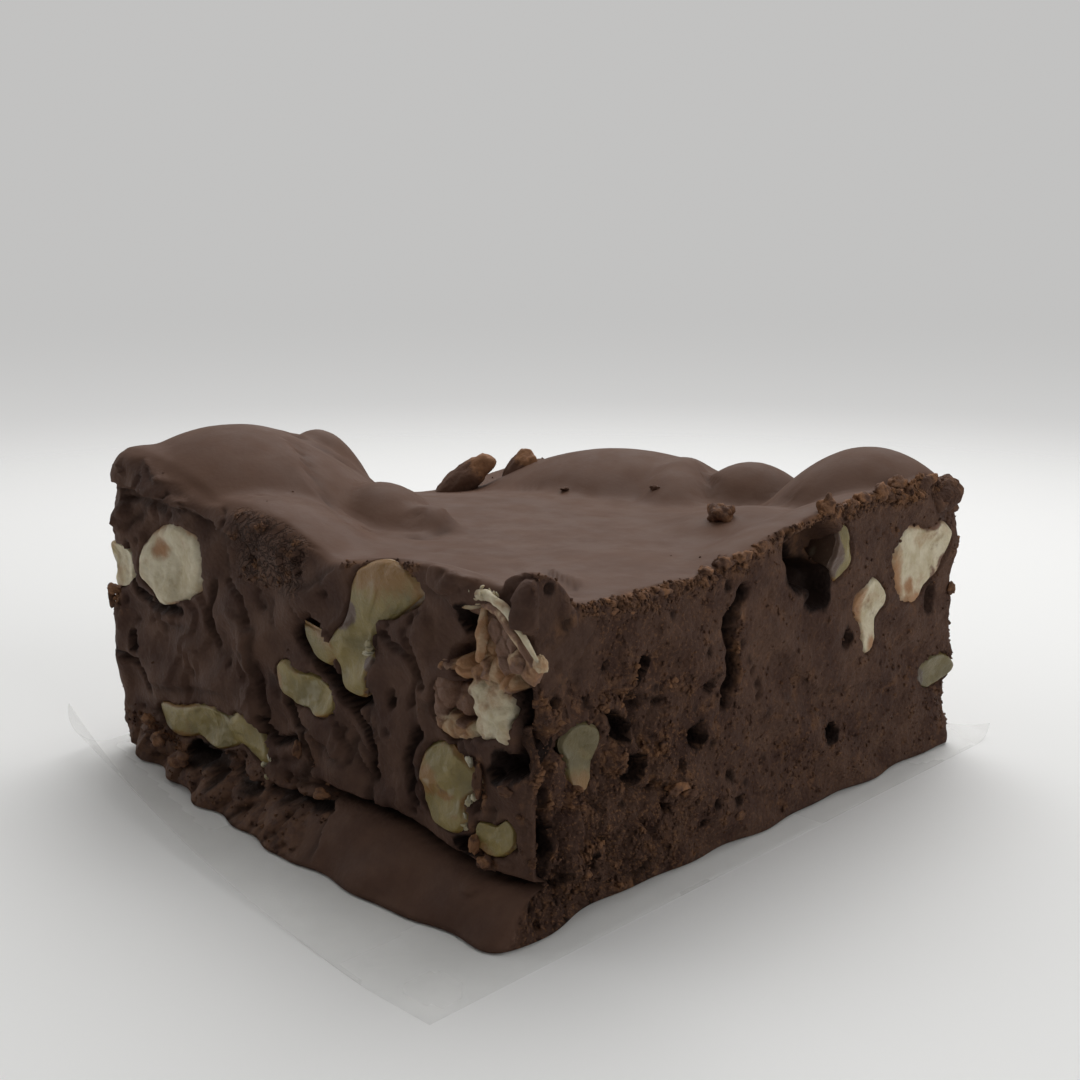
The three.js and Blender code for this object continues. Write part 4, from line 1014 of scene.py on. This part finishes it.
class Value:
    """An output of a shader node. Its methods and operators add nodes that work on it."""

    def __init__(self, tree, socket):
        self.tree, self.socket = tree, socket

    def math(self, operation, other, clamp=False):
        """A Math node of this value and another value or number."""
        return new_node(self.tree, "Math", 0, {0: self, 1: other}, operation=operation, use_clamp=clamp)

    def __add__(self, other):
        return self.math("ADD", other)

    def __sub__(self, other):
        return self.math("SUBTRACT", other)

    def __rsub__(self, other):
        return new_node(self.tree, "Math", 0, {0: other, 1: self}, operation="SUBTRACT")

    def __mul__(self, other):
        return self.math("MULTIPLY", other)

    def ramp(self, low, high, to_low=0.0, to_high=1.0):
        """A Map Range from low..high to to_low..to_high, smooth at both ends."""
        inputs = {"Value": self, "From Min": low, "From Max": high, "To Min": to_low, "To Max": to_high}
        return new_node(self.tree, "MapRange", "Result", inputs, interpolation_type="SMOOTHSTEP")


def feed(tree, socket, value):
    """Links a value to a socket, or sets a number, a vector or a colour on it."""
    if isinstance(value, Value):
        tree.links.new(value.socket, socket)
    else:
        socket.default_value = value


def new_node(tree, kind, output, inputs, **settings):
    """Adds a shader node with its settings and its inputs by name or number. Returns one of its outputs."""
    node = tree.nodes.new("ShaderNode" + kind)
    for name, setting in settings.items():
        setattr(node, name, setting)
    for label, value in inputs.items():
        feed(tree, node.inputs[label], value)
    return Value(tree, node.outputs[output])


def noise(at, scale, detail, roughness):
    """Noise at a place, with features of 1 / scale metres."""
    inputs = {"Vector": at, "Scale": scale, "Detail": detail, "Roughness": roughness}
    return new_node(at.tree, "TexNoise", "Fac", inputs)


def cells(at, scale, feature="F1"):
    """Distance within packed cells of 1 / scale metres at a place."""
    return new_node(at.tree, "TexVoronoi", "Distance", {"Vector": at, "Scale": scale}, feature=feature)


def mixed(share, *colours):
    """A mix of two colours, each a value or a tuple, by a value's share."""
    first, second = (colour if isinstance(colour, Value) else (*colour, 1) for colour in colours)
    return new_node(share.tree, "Mix", 2, {0: share, 6: first, 7: second}, data_type="RGBA")


def attribute(tree, name):
    """A point attribute's value."""
    return new_node(tree, "Attribute", "Fac", {}, attribute_name=name)


def new_material(name):
    """A material with its tree, its Principled BSDF and the object's own coordinates."""
    made = bpy.data.materials.new(name)
    made.use_nodes = True
    tree = made.node_tree
    return made, tree, tree.nodes["Principled BSDF"], new_node(tree, "TexCoord", "Object", {})


def add_bump(shader, height, distance, strength):
    """Puts a Bump node over a height into the shader's normal."""
    inputs = {"Strength": strength, "Distance": distance, "Height": height}
    feed(height.tree, shader.inputs["Normal"], new_node(height.tree, "Bump", "Normal", inputs))


def grain_group():
    """Fine crumb: packed cells, noise and pits as a height, and scattered light specks as a mask: crumb
    grains, and partly a painted highlight that stands in for glints.
    """
    known = bpy.data.node_groups.get("fine crumb")
    if known:
        return known
    group = bpy.data.node_groups.new("fine crumb", "ShaderNodeTree")
    group.interface.new_socket("Vector", in_out="INPUT", socket_type="NodeSocketVector")
    for label, way in (("Amount", "INPUT"), ("Height", "OUTPUT"), ("Specks", "OUTPUT")):
        group.interface.new_socket(label, in_out=way, socket_type="NodeSocketFloat")
    start, end = group.nodes.new("NodeGroupInput"), group.nodes.new("NodeGroupOutput")
    at, amount = Value(group, start.outputs["Vector"]), Value(group, start.outputs["Amount"])
    bumps = noise(at, 1500, 5, 0.72) * 1.3 - cells(at, 1900) * 0.8
    pits = cells(at, 620).ramp(0.08, 0.24, 1.0, 0.0) * 0.3
    lumps = noise(at, 420, 5, 0.6) * (amount * 0.6 + 0.04)
    feed(group, end.inputs["Height"], (bumps - pits) * amount + lumps)
    # Light specks: partly crumb grains, partly a painted highlight for glints.
    feed(group, end.inputs["Specks"], noise(at, 2400, 3, 0.6).ramp(0.54, 0.66) * amount * amount)
    return group


def fudge_material(colours):
    """Chocolate fudge: dark brown that pales in patches, rusty specks (partly a painted highlight for
    glints) and crumbs where it is torn, a smoother skin on top, fine crackle where the skin is stretched,
    and painted shade, near-black, deep inside its holes, cracks and creases, under its steps and on the
    crackle's lines."""
    known = bpy.data.materials.get("chocolate fudge")
    if known:
        return known
    made, tree, shader, at = new_material("chocolate fudge")
    crumble, rust, glaze, crackle, deep = (attribute(tree, name) for name in SLAB_MASKS)
    amount = crumble * 0.9 + 0.02 + (1.0 - glaze) * 0.13
    height = new_node(tree, "Group", "Height", {"Vector": at, "Amount": amount}, node_tree=grain_group())
    specks = Value(tree, height.socket.node.outputs["Specks"])
    base = mixed(noise(at, 160, 5, 0.6).ramp(0.3, 0.7), colours.fudge_dark, colours.fudge_light)
    base = mixed(glaze * 0.75, base, colours.fudge_skin)
    # Light specks in the crumb colour: partly grains of crumb, partly a painted highlight for glints.
    base = mixed(specks * 0.6, base, colours.crumb)
    fray = noise(at, 900, 3, 0.6)
    torn = rust.math("MULTIPLY", fray.ramp(0.4, 0.58), True)
    base = mixed(torn.math("MAXIMUM", rust.ramp(0.7, 1.0, 0.0, 0.75)), base, colours.crumb)
    shifted = new_node(tree, "VectorMath", 0, {0: at, 1: fray * 0.003}, operation="ADD")
    lines = cells(shifted, 1000, "DISTANCE_TO_EDGE").ramp(0.0, 0.14, 1.0, 0.0) * crackle
    # Painted shade: the deep mask and the crackle's lines mix in near-black, standing in for the shade deep
    # in holes, cracks, pits and creases, under steps and on the crackle's lines.
    base = mixed((deep * 0.93).math("MAXIMUM", lines * 0.4), base, colours.painted_shade)
    feed(tree, shader.inputs["Base Color"], base)
    wander = noise(at, 240, 4, 0.6).ramp(0.3, 0.7, 0.56, 0.7)
    feed(tree, shader.inputs["Roughness"], wander + crumble * 0.22)
    shader.inputs["Specular IOR Level"].default_value = 0.08
    add_bump(shader, height - lines * 0.5, 0.0006, 0.9)
    return made


def inclusion_material(name, tones, colours, roughness, scale, depth, soft):
    """A cut nut or marshmallow: patches of a pale and a deep tone, then skin and chocolate smears from the
    mesh's masks in the other two tones, and a fine grain."""
    known = bpy.data.materials.get(name)
    if known:
        return known
    made, tree, shader, at = new_material(name)
    pale, deep, skin, stain = tones
    base = mixed(noise(at, scale, 5, 0.6).ramp(0.32, 0.68), pale, deep)
    wobble = (noise(at, 1100, 4, 0.65) - 0.5) * 0.9
    skinned = (attribute(tree, "skin") + wobble).ramp(0.46 - soft, 0.46 + soft)
    base = mixed(skinned, base, skin)
    smeared = (attribute(tree, "smear") + wobble).ramp(0.5 - 0.5 * soft, 0.5 + 0.5 * soft)
    base = mixed(smeared, base, stain)
    base = mixed(attribute(tree, "pale"), base, colours.nut_pale)
    base = mixed(attribute(tree, "dull"), base, colours.nut_shade)
    feed(tree, shader.inputs["Base Color"], base)
    rough = noise(at, 700, 4, 0.6)
    feed(tree, shader.inputs["Roughness"], rough.ramp(0.3, 0.7, roughness - 0.08, roughness + 0.1))
    add_bump(shader, noise(at, 2400, 4, 0.7) + rough * 1.5, depth, 0.7)
    shader.inputs["Subsurface Weight"].default_value = 0.2
    shader.inputs["Subsurface Radius"].default_value = (1.0, 0.8, 0.5)
    shader.inputs["Subsurface Scale"].default_value = 0.0012
    return made


def walnut_material(colours):
    """Cut walnut."""
    tones = (colours.walnut, colours.walnut_deep, colours.walnut_skin, colours.fudge_light)
    return inclusion_material("cut walnut", tones, colours, 0.38, 300, 0.00016, 0.34)


def marshmallow_material(colours):
    """Torn marshmallow."""
    clean = (colours.marshmallow, colours.marshmallow_deep)
    tones = (*clean, colours.marshmallow_tan, colours.marshmallow_stain)
    return inclusion_material("torn marshmallow", tones, colours, 0.7, 350, 0.00025, 0.5)


def paper_material(colours):
    """Wax paper: pale, half see-through, faintly cloudy."""
    made, tree, shader, at = new_material("wax paper")
    cloudy = noise(at, 60, 5, 0.6)
    shaded = tuple(0.92 * part for part in colours.paper)
    feed(tree, shader.inputs["Base Color"], mixed(cloudy.ramp(0.35, 0.65), colours.paper, shaded))
    cover = colours.paper_cover
    feed(tree, shader.inputs["Alpha"], cloudy.ramp(0.3, 0.7, cover - 0.02, cover + 0.02))
    shader.inputs["Roughness"].default_value = 0.42
    add_bump(shader, noise(at, 120, 2, 0.5), 0.0003, 0.25)
    return made


# ---- What a user may change ----

COLOUR = {"subtype": "COLOR", "min": 0, "max": 1}


class FudgeShape(bpy.types.PropertyGroup):
    """Sizes and amounts of the fudge's surface."""

    grid_step: FloatProperty(name="Grid Step", default=0.4, min=0.35, max=2,
                             description="Spacing of the slab's surface grid, in millimetres")
    relief: FloatProperty(name="Relief", description="Strength of the slab's crumbs, cracks and holes",
                          default=1, min=0, max=1.5, subtype="FACTOR")
    crumbs: IntProperty(name="Crumbs", description="Number of loose crumbs on the slab",
                        default=5200, min=0, max=9000)
    seed: IntProperty(name="Seed", description="Seed of the loose crumbs' places", default=7, min=0)


class FudgeColours(bpy.types.PropertyGroup):
    """Colours of the fudge's finishes."""

    fudge_dark: FloatVectorProperty(name="Fudge Dark", description="Darker patches of the chocolate",
                                    default=(0.068, 0.037, 0.028), **COLOUR)
    fudge_light: FloatVectorProperty(name="Fudge Light", description="Lighter patches of the chocolate",
                                     default=(0.118, 0.067, 0.047), **COLOUR)
    fudge_skin: FloatVectorProperty(name="Fudge Skin", description="Smooth skin on top of the chocolate",
                                    default=(0.114, 0.061, 0.040), **COLOUR)
    crumb: FloatVectorProperty(name="Crumb", description="Torn crumbs and frayed edges of the chocolate",
                               default=(0.27, 0.135, 0.068), **COLOUR)
    # Painted shade: a near-black mixed in where the slab's deep mask and its crackle lines lie.
    painted_shade: FloatVectorProperty(name="Hollow", description="Chocolate deep inside holes and cracks",
                                default=(0.009, 0.005, 0.004), **COLOUR)
    nut_pale: FloatVectorProperty(name="Nut Pale", description="Pale chips torn off the walnuts",
                                  default=(0.5, 0.46, 0.34), **COLOUR)
    walnut: FloatVectorProperty(name="Walnut", description="Cut flesh of the walnuts",
                                default=(0.295, 0.222, 0.068), **COLOUR)
    walnut_deep: FloatVectorProperty(name="Walnut Deep", description="Darker flesh of the walnuts",
                                     default=(0.20, 0.158, 0.056), **COLOUR)
    walnut_skin: FloatVectorProperty(name="Walnut Skin", description="Brown skin of the walnuts",
                                     default=(0.27, 0.142, 0.038), **COLOUR)
    marshmallow: FloatVectorProperty(name="Marshmallow", description="Marshmallow where it is clean",
                                     default=(0.68, 0.61, 0.45), **COLOUR)
    marshmallow_deep: FloatVectorProperty(name="Marshmallow Deep", description="Marshmallow in its hollows",
                                          default=(0.50, 0.42, 0.27), **COLOUR)
    # Some nuts are mixed towards this greenish grey by the darkening mask.
    nut_shade: FloatVectorProperty(name="Nut Shade", description="Nut that has dulled to a greenish grey",
                                   default=(0.078, 0.066, 0.036), **COLOUR)
    marshmallow_tan: FloatVectorProperty(name="Marshmallow Tan",
                                         description="Marshmallow stained by chocolate",
                                         default=(0.36, 0.19, 0.09), **COLOUR)
    marshmallow_stain: FloatVectorProperty(name="Marshmallow Stain",
                                           description="Marshmallow under a film of chocolate",
                                           default=(0.18, 0.095, 0.06), **COLOUR)
    paper: FloatVectorProperty(name="Paper", description="Wax paper", default=(0.9, 0.9, 0.88), **COLOUR)
    paper_cover: FloatProperty(name="Paper Cover", default=0.14, min=0.1, max=0.9, subtype="FACTOR",
                               description="How much the wax paper hides what is under it")


# ---- Operators ----

class FUDGE_OT_slab(bpy.types.Operator):
    """Builds the chocolate slab with its crumbs, cracks, holes and pockets, and its three knobs"""

    bl_idname = "fudge.slab"
    bl_label = "Chocolate Slab"

    def execute(self, context):
        shape = context.scene.fudge_shape
        material = fudge_material(context.scene.fudge_colours)
        box, quads, triangles, ring = slab_grid(shape.grid_step)
        points, out = slab_shape(box)
        relief, masks = slab_relief(points, out, shape.relief)
        points = points + out * relief[:, None]
        points[ring, 2] = FLOOR
        points[:, 2] = np.maximum(points[:, 2], FLOOR)
        count = len(points)
        points, quads, triangles = close_underside(points, quads, triangles, ring)
        hidden = np.zeros(len(points) - count)
        masks = {mask: np.concatenate([values, hidden]) for mask, values in masks.items()}
        add_piece("fudge_slab", points, quads, triangles, masks, material, "fudge", ["fudge"])

        parts = []
        plain = {"crackle": 0.0, "deep": 0.0}
        for number, (middle, way, length, width, rust) in enumerate(KNOBS):
            points, quads, triangles, tip = pointed(middle, way, length, width, 9 + number)
            crumble, glaze = (0.1, 1.0) if number < SMOOTH_KNOBS else (0.5, 0.3)
            masks = {"crumble": crumble, "rust": rust * smooth(0.25, 0.6, tip), "glaze": glaze, **plain}
            parts.append((points, quads, triangles, masks))
        for number, (place, sizes, rust) in enumerate(FLAKES):
            points, quads, triangles, _ = chunk(sizes, 20 + number, 0.62, 14, 26)
            rust = rust * smooth(-0.7, 0.3, cloud(points + number, 1.0, 94, 2))
            masks = {"crumble": 0.2, "rust": rust, "glaze": 0.7, **plain}
            parts.append((points + place, quads, triangles, masks))
        add_piece("fudge_knobs", *join_parts(parts), material, "fudge")
        return {"FINISHED"}


class FUDGE_OT_walnuts(bpy.types.Operator):
    """Builds the cut walnuts in the sides of the slab"""

    bl_idname = "fudge.walnuts"
    bl_label = "Walnuts"

    # Where brown skin and chocolate smears lie on a nut: along, up, half-length, half-height, turn.
    skins = {
        "walnut_south_upper": [(14.5, 33.2, 7.4, 2.9, 6), (21, 31, 1.2, 2, 0), (5, 25.2, 3.5, 0.5, -40)],
        "walnut_south_corner": [(21.6, 12.4, 2.0, 1.6, 0), (24.4, 11.4, 1.2, 0.5, 0)],
        "walnut_south_small": [(29.6, 6.4, 1.6, 1.4, 30)],
        "walnut_south_long": [(-22, 5.2, 5, 0.8, 4)],
        "walnut_east_front": [(-31.8, 13.6, 2.4, 1.9, 0)],
        "walnut_south_lower": [(-2.6, 16.2, 1.0, 2, 0)],
    }
    smears = {
        "walnut_south_upper": [(9.2, 26.8, 2.0, 1.4, 30), (13.2, 22.4, 1.0, 0.8, 0)],
        "walnut_east_far": [(31.4, 10, 1.2, 1.2, 0)],
        "walnut_east_hollow": [(9.3, 30, 1.9, 5, 0)],
    }
    # How far each nut is darkened towards a greenish grey.
    dulls = {
        "walnut_east_front": 0.74, "walnut_east_far": 0.6, "walnut_east_hollow": 0.15,
        "walnut_south_upper": 0.1, "walnut_south_corner": 0.08,
    }

    def execute(self, context):
        material = walnut_material(context.scene.fudge_colours)
        for seed, (name, lump) in enumerate(WALNUTS.items()):
            points, quads, triangles, field, along, up = lump_surface(lump, 3.7 * seed, "walnut")
            rim = 1 - smooth(0.04, 0.45, field)
            skin = blotches(points, rim, (0.8, -0.3, 0.4, 4.5, 101), (0.3, 0.3, 0.8, 2.4, 102))
            skin = stained(self.skins.get(name, []), along, up, skin)
            smear = blotches(points, rim, (0.7, 0.1, 0.6, 2.6, 103), (0.4, 0.5, 0.9, 2.0, 104))
            smear = stained(self.smears.get(name, []), along, up, smear)
            pale = 0.35 * smooth(0.4, 0.9, cloud(points, 1.1, 105, 2))
            dull = (1 - 0.75 * skin) * self.dulls.get(name, 0)
            masks = {"skin": skin, "smear": smear, "pale": pale, "dull": dull}
            add_piece("fine_" + name, points, quads, triangles, masks, material, "walnut", [name])
        parts = []
        rng = np.random.default_rng(3)
        for a, u, spread, number in NUT_CHIPS:
            for a0, u0 in rng.normal((a, u), 0.5 * spread, (number, 2)):
                sizes = rng.uniform(0.2, 0.55, 3)
                points, quads, triangles, _ = chunk(sizes, 60 * rng.random(), 0.6, 10, 16)
                place = on_side("south", a0, u0, 0.3 * rng.random() - 0.1)
                masks = {"skin": 0.0, "smear": 0.0, "pale": rng.uniform(0.4, 1)}
                parts.append((points + place, quads, triangles, masks))
        add_piece("walnut_chips", *join_parts(parts), material, "walnut")
        return {"FINISHED"}


class FUDGE_OT_marshmallows(bpy.types.Operator):
    """Builds the cut marshmallows in the slab's sides, and the torn one with its hood at the front corner"""

    bl_idname = "fudge.marshmallows"
    bl_label = "Marshmallows"

    # Where a marshmallow is stained or smeared with chocolate: along, up, half-length, half-height, turn.
    tans = {
        "marshmallow_south_left": [(-25.6, 28.2, 1.6, 1.2, 20), (-28, 30.4, 3.5, 0.9, 20)],
        "marshmallow_east_upper": [
            (23.6, 24, 1.4, 3.6, 0), (27, 20.8, 3.8, 1.3, 0), (30, 30.6, 4.4, 0.8, 0),
            (26.4, 23.0, 1.2, 0.9, 30),
        ],
        "marshmallow_east_drop": [(15.6, 22, 1.1, 3.4, 0), (18.2, 17.6, 1.0, 0.9, 0)],
    }
    smears = {
        "marshmallow_south_left": [(-31.4, 25.4, 0.9, 2.4, 0)],
        "marshmallow_east_upper": [
            (32.6, 21.8, 1.0, 2.6, 10), (31, 30.4, 1.8, 1.2, 0), (34.6, 24.4, 0.8, 1.4, 0),
        ],
    }

    def execute(self, context):
        material = marshmallow_material(context.scene.fudge_colours)
        for seed, (name, lump) in enumerate(MARSHMALLOWS.items()):
            points, quads, triangles, field, along, up = lump_surface(lump, 5.3 * seed + 40, "marshmallow")
            rim = 1 - smooth(0.0, 0.2, field)
            skin = blotches(points, rim, (0.8, -0.3, 0.4, 3.5, 111), (0.35, 0.1, 0.6, 2.6, 114))
            skin = stained(self.tans.get(name, []), along, up, skin)
            smear = blotches(points, rim, (0.8, 0.0, 0.5, 2.0, 112), (0.4, 0.2, 0.9, 3.6, 113))
            smear = stained(self.smears.get(name, []), along, up, smear)
            masks = {"skin": skin, "smear": smear, "pale": 0 * skin}
            add_piece("fine_" + name, points, quads, triangles, masks, material, "marshmallow", [name])

        def masked(skin, smear):
            """Masks of a torn part, kept from 0 to 1."""
            return {"skin": np.clip(skin, 0, 1), "pale": 0.0, "smear": np.clip(smear, 0, 1)}

        points, quads, smear, tan = torn_surface()
        masks = masked(1.35 * tan + 0.45 * cloud(points, 1.5, 121, 2),
                       1.5 * smear - 0.05 + 0.5 * cloud(points, 1.1, 123, 2))
        parts = [(points, quads, np.zeros((0, 3), int), masks)]
        for number, (a, u, o, length, height, depth, turn, smear, tan) in enumerate(TORN_ENDS):
            points, quads, triangles = blob((a, u, o), (length, height, depth), turn, number, 0.3)
            patch = 0.4 * cloud(points, 1.5, 121)
            parts.append((points, quads, triangles, masked(tan + patch, smear + patch)))
        for number, (path, radius, smear, tan) in enumerate(HOOD):
            points, quads, triangles = strand(path, radius, number, 110, 28, 0.75)
            patch = cloud(points, 1.1, 122)
            parts.append((points, quads, triangles, masked(tan + 0.5 * patch, smear + 0.45 * patch - 0.1)))
        rng = np.random.default_rng(5)
        for number in range(TORN_THREADS):
            share = rng.random()
            up = 32.5 + 0.5 * math.sin(2.6 * share)
            start = np.array([28.4 + 4.4 * share, up, 0.1 + 0.3 * rng.random()])
            reach = np.array([rng.normal(0, 0.35), 0.4 + 0.6 * rng.random(), rng.normal(0, 0.2)])
            path = (start, start + 0.5 * reach + rng.normal(0, 0.15, 3), start + reach)
            points, quads, triangles = strand(path, 0.17, number, 10, 6)
            masks = {"skin": 0.5 * rng.random(), "smear": 0.0, "pale": 0.3}
            parts.append((points, quads, triangles, masks))
        torn = join_parts(parts)
        add_piece("torn_marshmallow", *torn, material, "marshmallow", ["marshmallow_south_corner"])
        return {"FINISHED"}


class FUDGE_OT_crumbs(bpy.types.Operator):
    """Scatters loose crumbs over the torn edges and sides of the slab"""

    bl_idname = "fudge.crumbs"
    bl_label = "Loose Crumbs"

    @staticmethod
    def read(layer, name, width):
        """A layer of the slab's mesh, as rows of so many numbers."""
        numbers = np.empty(len(layer) * width, np.float32)
        layer.foreach_get(name, numbers)
        return numbers.reshape(-1, width)

    def execute(self, context):
        shape = context.scene.fudge_shape
        rng = np.random.default_rng(shape.seed)
        slab = bpy.data.objects["fudge_slab"].data
        at = self.read(slab.vertices, "co", 3) * 1000
        way = self.read(slab.vertices, "normal", 3)
        crumble, rust, deep = (self.read(slab.attributes[mask].data, "value", 1)[:, 0]
                               for mask in ("crumble", "rust", "deep"))
        chance = (0.3 * crumble**2 + 1.6 * rust**1.5 + 0.0006) * (at[:, 2] > 0.8) * (deep < 0.3)
        number = shape.crumbs
        picked = rng.choice(len(at), number, replace=False, p=chance / chance.sum())
        directions, quads, triangles = ball_grid(4, 7)
        grain = len(directions)
        size = (0.11 + 0.2 * rng.random(number) ** 2.5) * (0.8 + 0.7 * rust[picked])
        pieces = directions * rng.uniform(0.5, 1.5, (number, 1, 3))
        pieces = pieces * rng.uniform(0.6, 1.3, (number, grain, 1))
        turn = rng.normal(size=(4, number))
        w, i, j, k = turn / np.linalg.norm(turn, axis=0)
        turned = np.stack([
            stack(1 - 2 * (j * j + k * k), 2 * (i * j - k * w), 2 * (i * k + j * w)),
            stack(2 * (i * j + k * w), 1 - 2 * (i * i + k * k), 2 * (j * k - i * w)),
            stack(2 * (i * k - j * w), 2 * (j * k + i * w), 1 - 2 * (i * i + j * j)),
        ], axis=1)
        middle = at[picked] + way[picked] * size[:, None] * 0.15
        points = middle[:, None, :] + np.einsum("nij,nkj->nki", turned, pieces) * size[:, None, None]
        start = np.arange(number)[:, None, None] * grain
        masks = {"crumble": np.full(number * grain, 0.6), "glaze": np.zeros(number * grain)}
        frayed = (0.25 + 0.75 * rng.random(number)) * (0.3 + rust[picked])
        masks["rust"] = np.repeat(np.clip(frayed, 0, 1), grain)
        material = fudge_material(context.scene.fudge_colours)
        add_piece("fudge_crumbs", points.reshape(-1, 3), (quads[None] + start).reshape(-1, 4),
                  (triangles[None] + start).reshape(-1, 3), masks, material, "fudge")
        return {"FINISHED"}


class FUDGE_OT_paper(bpy.types.Operator):
    """Builds the slip of wax paper with its curled edge"""

    bl_idname = "fudge.paper"
    bl_label = "Wax Paper"

    @staticmethod
    def curled(x, y, lift):
        """Points of the sheet: past each fold line it follows a circle, so a length past it becomes an
        angle."""
        point = stack(x, y, 0 * x)
        up = np.tile([0.0, 0.0, 1.0], (len(x), 1))
        for cx, cy, towards, radius in CURLS:
            angle = math.radians(towards)
            direction = np.array([math.cos(angle), math.sin(angle), 0.0])
            past = over((x - cx) * direction[0] + (y - cy) * direction[1])
            tilt = past / radius
            point += (radius * np.sin(tilt) - past)[:, None] * direction
            point[:, 2] += radius * (1 - np.cos(tilt))
            up = up * np.cos(tilt)[:, None] - np.sin(tilt)[:, None] * direction
        return point + up * lift[:, None]

    def execute(self, context):
        columns, rows = PAPER_GRID
        shares = np.linspace(0, 1, columns), np.linspace(0, 1, rows)
        across, away = (share.ravel() for share in np.meshgrid(*shares, indexing="ij"))
        x = PAPER["left"] + (PAPER["right"] - PAPER["left"]) * across
        slant = over((SLANT["from"] - x) / (SLANT["from"] - PAPER["left"]))
        front = PAPER["front"] + SLANT["depth"] * slant
        y = front + (PAPER["back"] - front) * away
        beyond = np.maximum(np.abs(x) - 36, np.abs(y + 2) - 38)
        thickness = PAPER["thickness"] + (PAPER["edge"] - PAPER["thickness"]) * smooth(0, 3, beyond)
        rise = 0.12 * smooth(0, 6, beyond) * over(cloud(stack(x, y, 0 * x), 16, 131))
        points = np.concatenate([self.curled(x, y, lift) for lift in (rise + thickness, rise)])
        add_piece("wax_paper_slip", points, two_faced(columns, rows), np.zeros((0, 3), int), {},
                  paper_material(context.scene.fudge_colours), "wax_paper", ["wax_paper"])
        return {"FINISHED"}


class FUDGE_OT_stage(bpy.types.Operator):
    """Builds the pale floor, the soft lights and the camera"""

    bl_idname = "fudge.stage"
    bl_label = "Stage"

    @staticmethod
    def aim(thing, place, way):
        """Puts a light or camera at a place, looking one way."""
        thing.location = place
        thing.rotation_euler = Vector(way).to_track_quat("-Z", "Y").to_euler()
        bpy.context.scene.collection.objects.link(thing)
        return thing

    def execute(self, context):
        mesh = bpy.data.meshes.new("pale_floor")
        mesh.from_pydata([(-4, -4, 0), (4, -4, 0), (4, 4, 0), (-4, 4, 0)], [], [(0, 1, 2, 3)])
        floor = bpy.data.objects.new("pale_floor", mesh)
        context.scene.collection.objects.link(floor)
        made, tree, shader, at = new_material("pale floor")
        shader.inputs["Base Color"].default_value = (0.84, 0.84, 0.83, 1)
        shader.inputs["Roughness"].default_value = 0.6
        shader.inputs["Specular IOR Level"].default_value = 0.2
        far = new_node(tree, "VectorMath", "Value", {0: at}, operation="LENGTH")
        feed(tree, shader.inputs["Alpha"], far.ramp(*FLOOR_FADE, 1.0, 0.0))
        mesh.materials.append(made)

        context.scene.view_settings.view_transform = "Standard"
        world = bpy.data.worlds.new("soft room")
        context.scene.world = world
        world.use_nodes = True
        tree = world.node_tree
        way = new_node(tree, "TexCoord", "Generated", {})
        facing = new_node(tree, "VectorMath", "Value", {0: way, 1: BRIGHT_SIDE}, operation="DOT_PRODUCT")
        height = new_node(tree, "SeparateXYZ", "Z", {0: way})
        glow = facing.ramp(-0.9, 0.9, *ROOM_GLOW) + height.ramp(-0.25, -0.07, 0.28, 0.0)
        tree.nodes["Background"].inputs["Color"].default_value = (1.0, 0.995, 0.985, 1)
        feed(tree, tree.nodes["Background"].inputs["Strength"], glow)

        for name, place, target, size, power in LIGHTS:
            light = bpy.data.lights.new(name, "AREA")
            light.size = size
            light.energy = power
            self.aim(bpy.data.objects.new(name, light), place, Vector(target) - Vector(place))

        lens = bpy.data.cameras.new("camera")
        lens.lens = 50
        lens.sensor_width = 36
        azimuth, pitch = (math.radians(angle) for angle in CAMERA_TURN)
        way = (-math.sin(azimuth) * math.cos(pitch), math.cos(azimuth) * math.cos(pitch), -math.sin(pitch))
        context.scene.camera = self.aim(bpy.data.objects.new("camera", lens), CAMERA_PLACE, way)
        return {"FINISHED"}


OPERATORS = (
    FUDGE_OT_stage, FUDGE_OT_slab, FUDGE_OT_walnuts, FUDGE_OT_marshmallows, FUDGE_OT_crumbs, FUDGE_OT_paper,
)


class FUDGE_PT_panel(bpy.types.Panel):
    """The fudge's sizes, colours and operators in the 3D view's sidebar"""

    bl_idname = "FUDGE_PT_panel"
    bl_label = "Rocky Road Fudge"
    bl_space_type = "VIEW_3D"
    bl_region_type = "UI"
    bl_category = "Fudge"

    def draw(self, context):
        for settings in (context.scene.fudge_shape, context.scene.fudge_colours):
            for name in settings.bl_rna.properties.keys():
                if name not in {"rna_type", "name"}:
                    self.layout.prop(settings, name)
        for operator in OPERATORS:
            self.layout.operator(operator.bl_idname)


CLASSES = (FudgeShape, FudgeColours, *OPERATORS, FUDGE_PT_panel)


def register():
    """Registers the classes and puts the settings on the scene."""
    for made in CLASSES:
        bpy.utils.register_class(made)
    bpy.types.Scene.fudge_shape = PointerProperty(type=FudgeShape)
    bpy.types.Scene.fudge_colours = PointerProperty(type=FudgeColours)


def unregister():
    """Takes the settings and classes away again."""
    del bpy.types.Scene.fudge_colours
    del bpy.types.Scene.fudge_shape
    for made in reversed(CLASSES):
        bpy.utils.unregister_class(made)


def main():
    """Registers the add-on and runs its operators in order."""
    register()
    for operator in OPERATORS:
        group, name = operator.bl_idname.split(".")
        getattr(getattr(bpy.ops, group), name)()


if __name__ == "__main__":
    main()
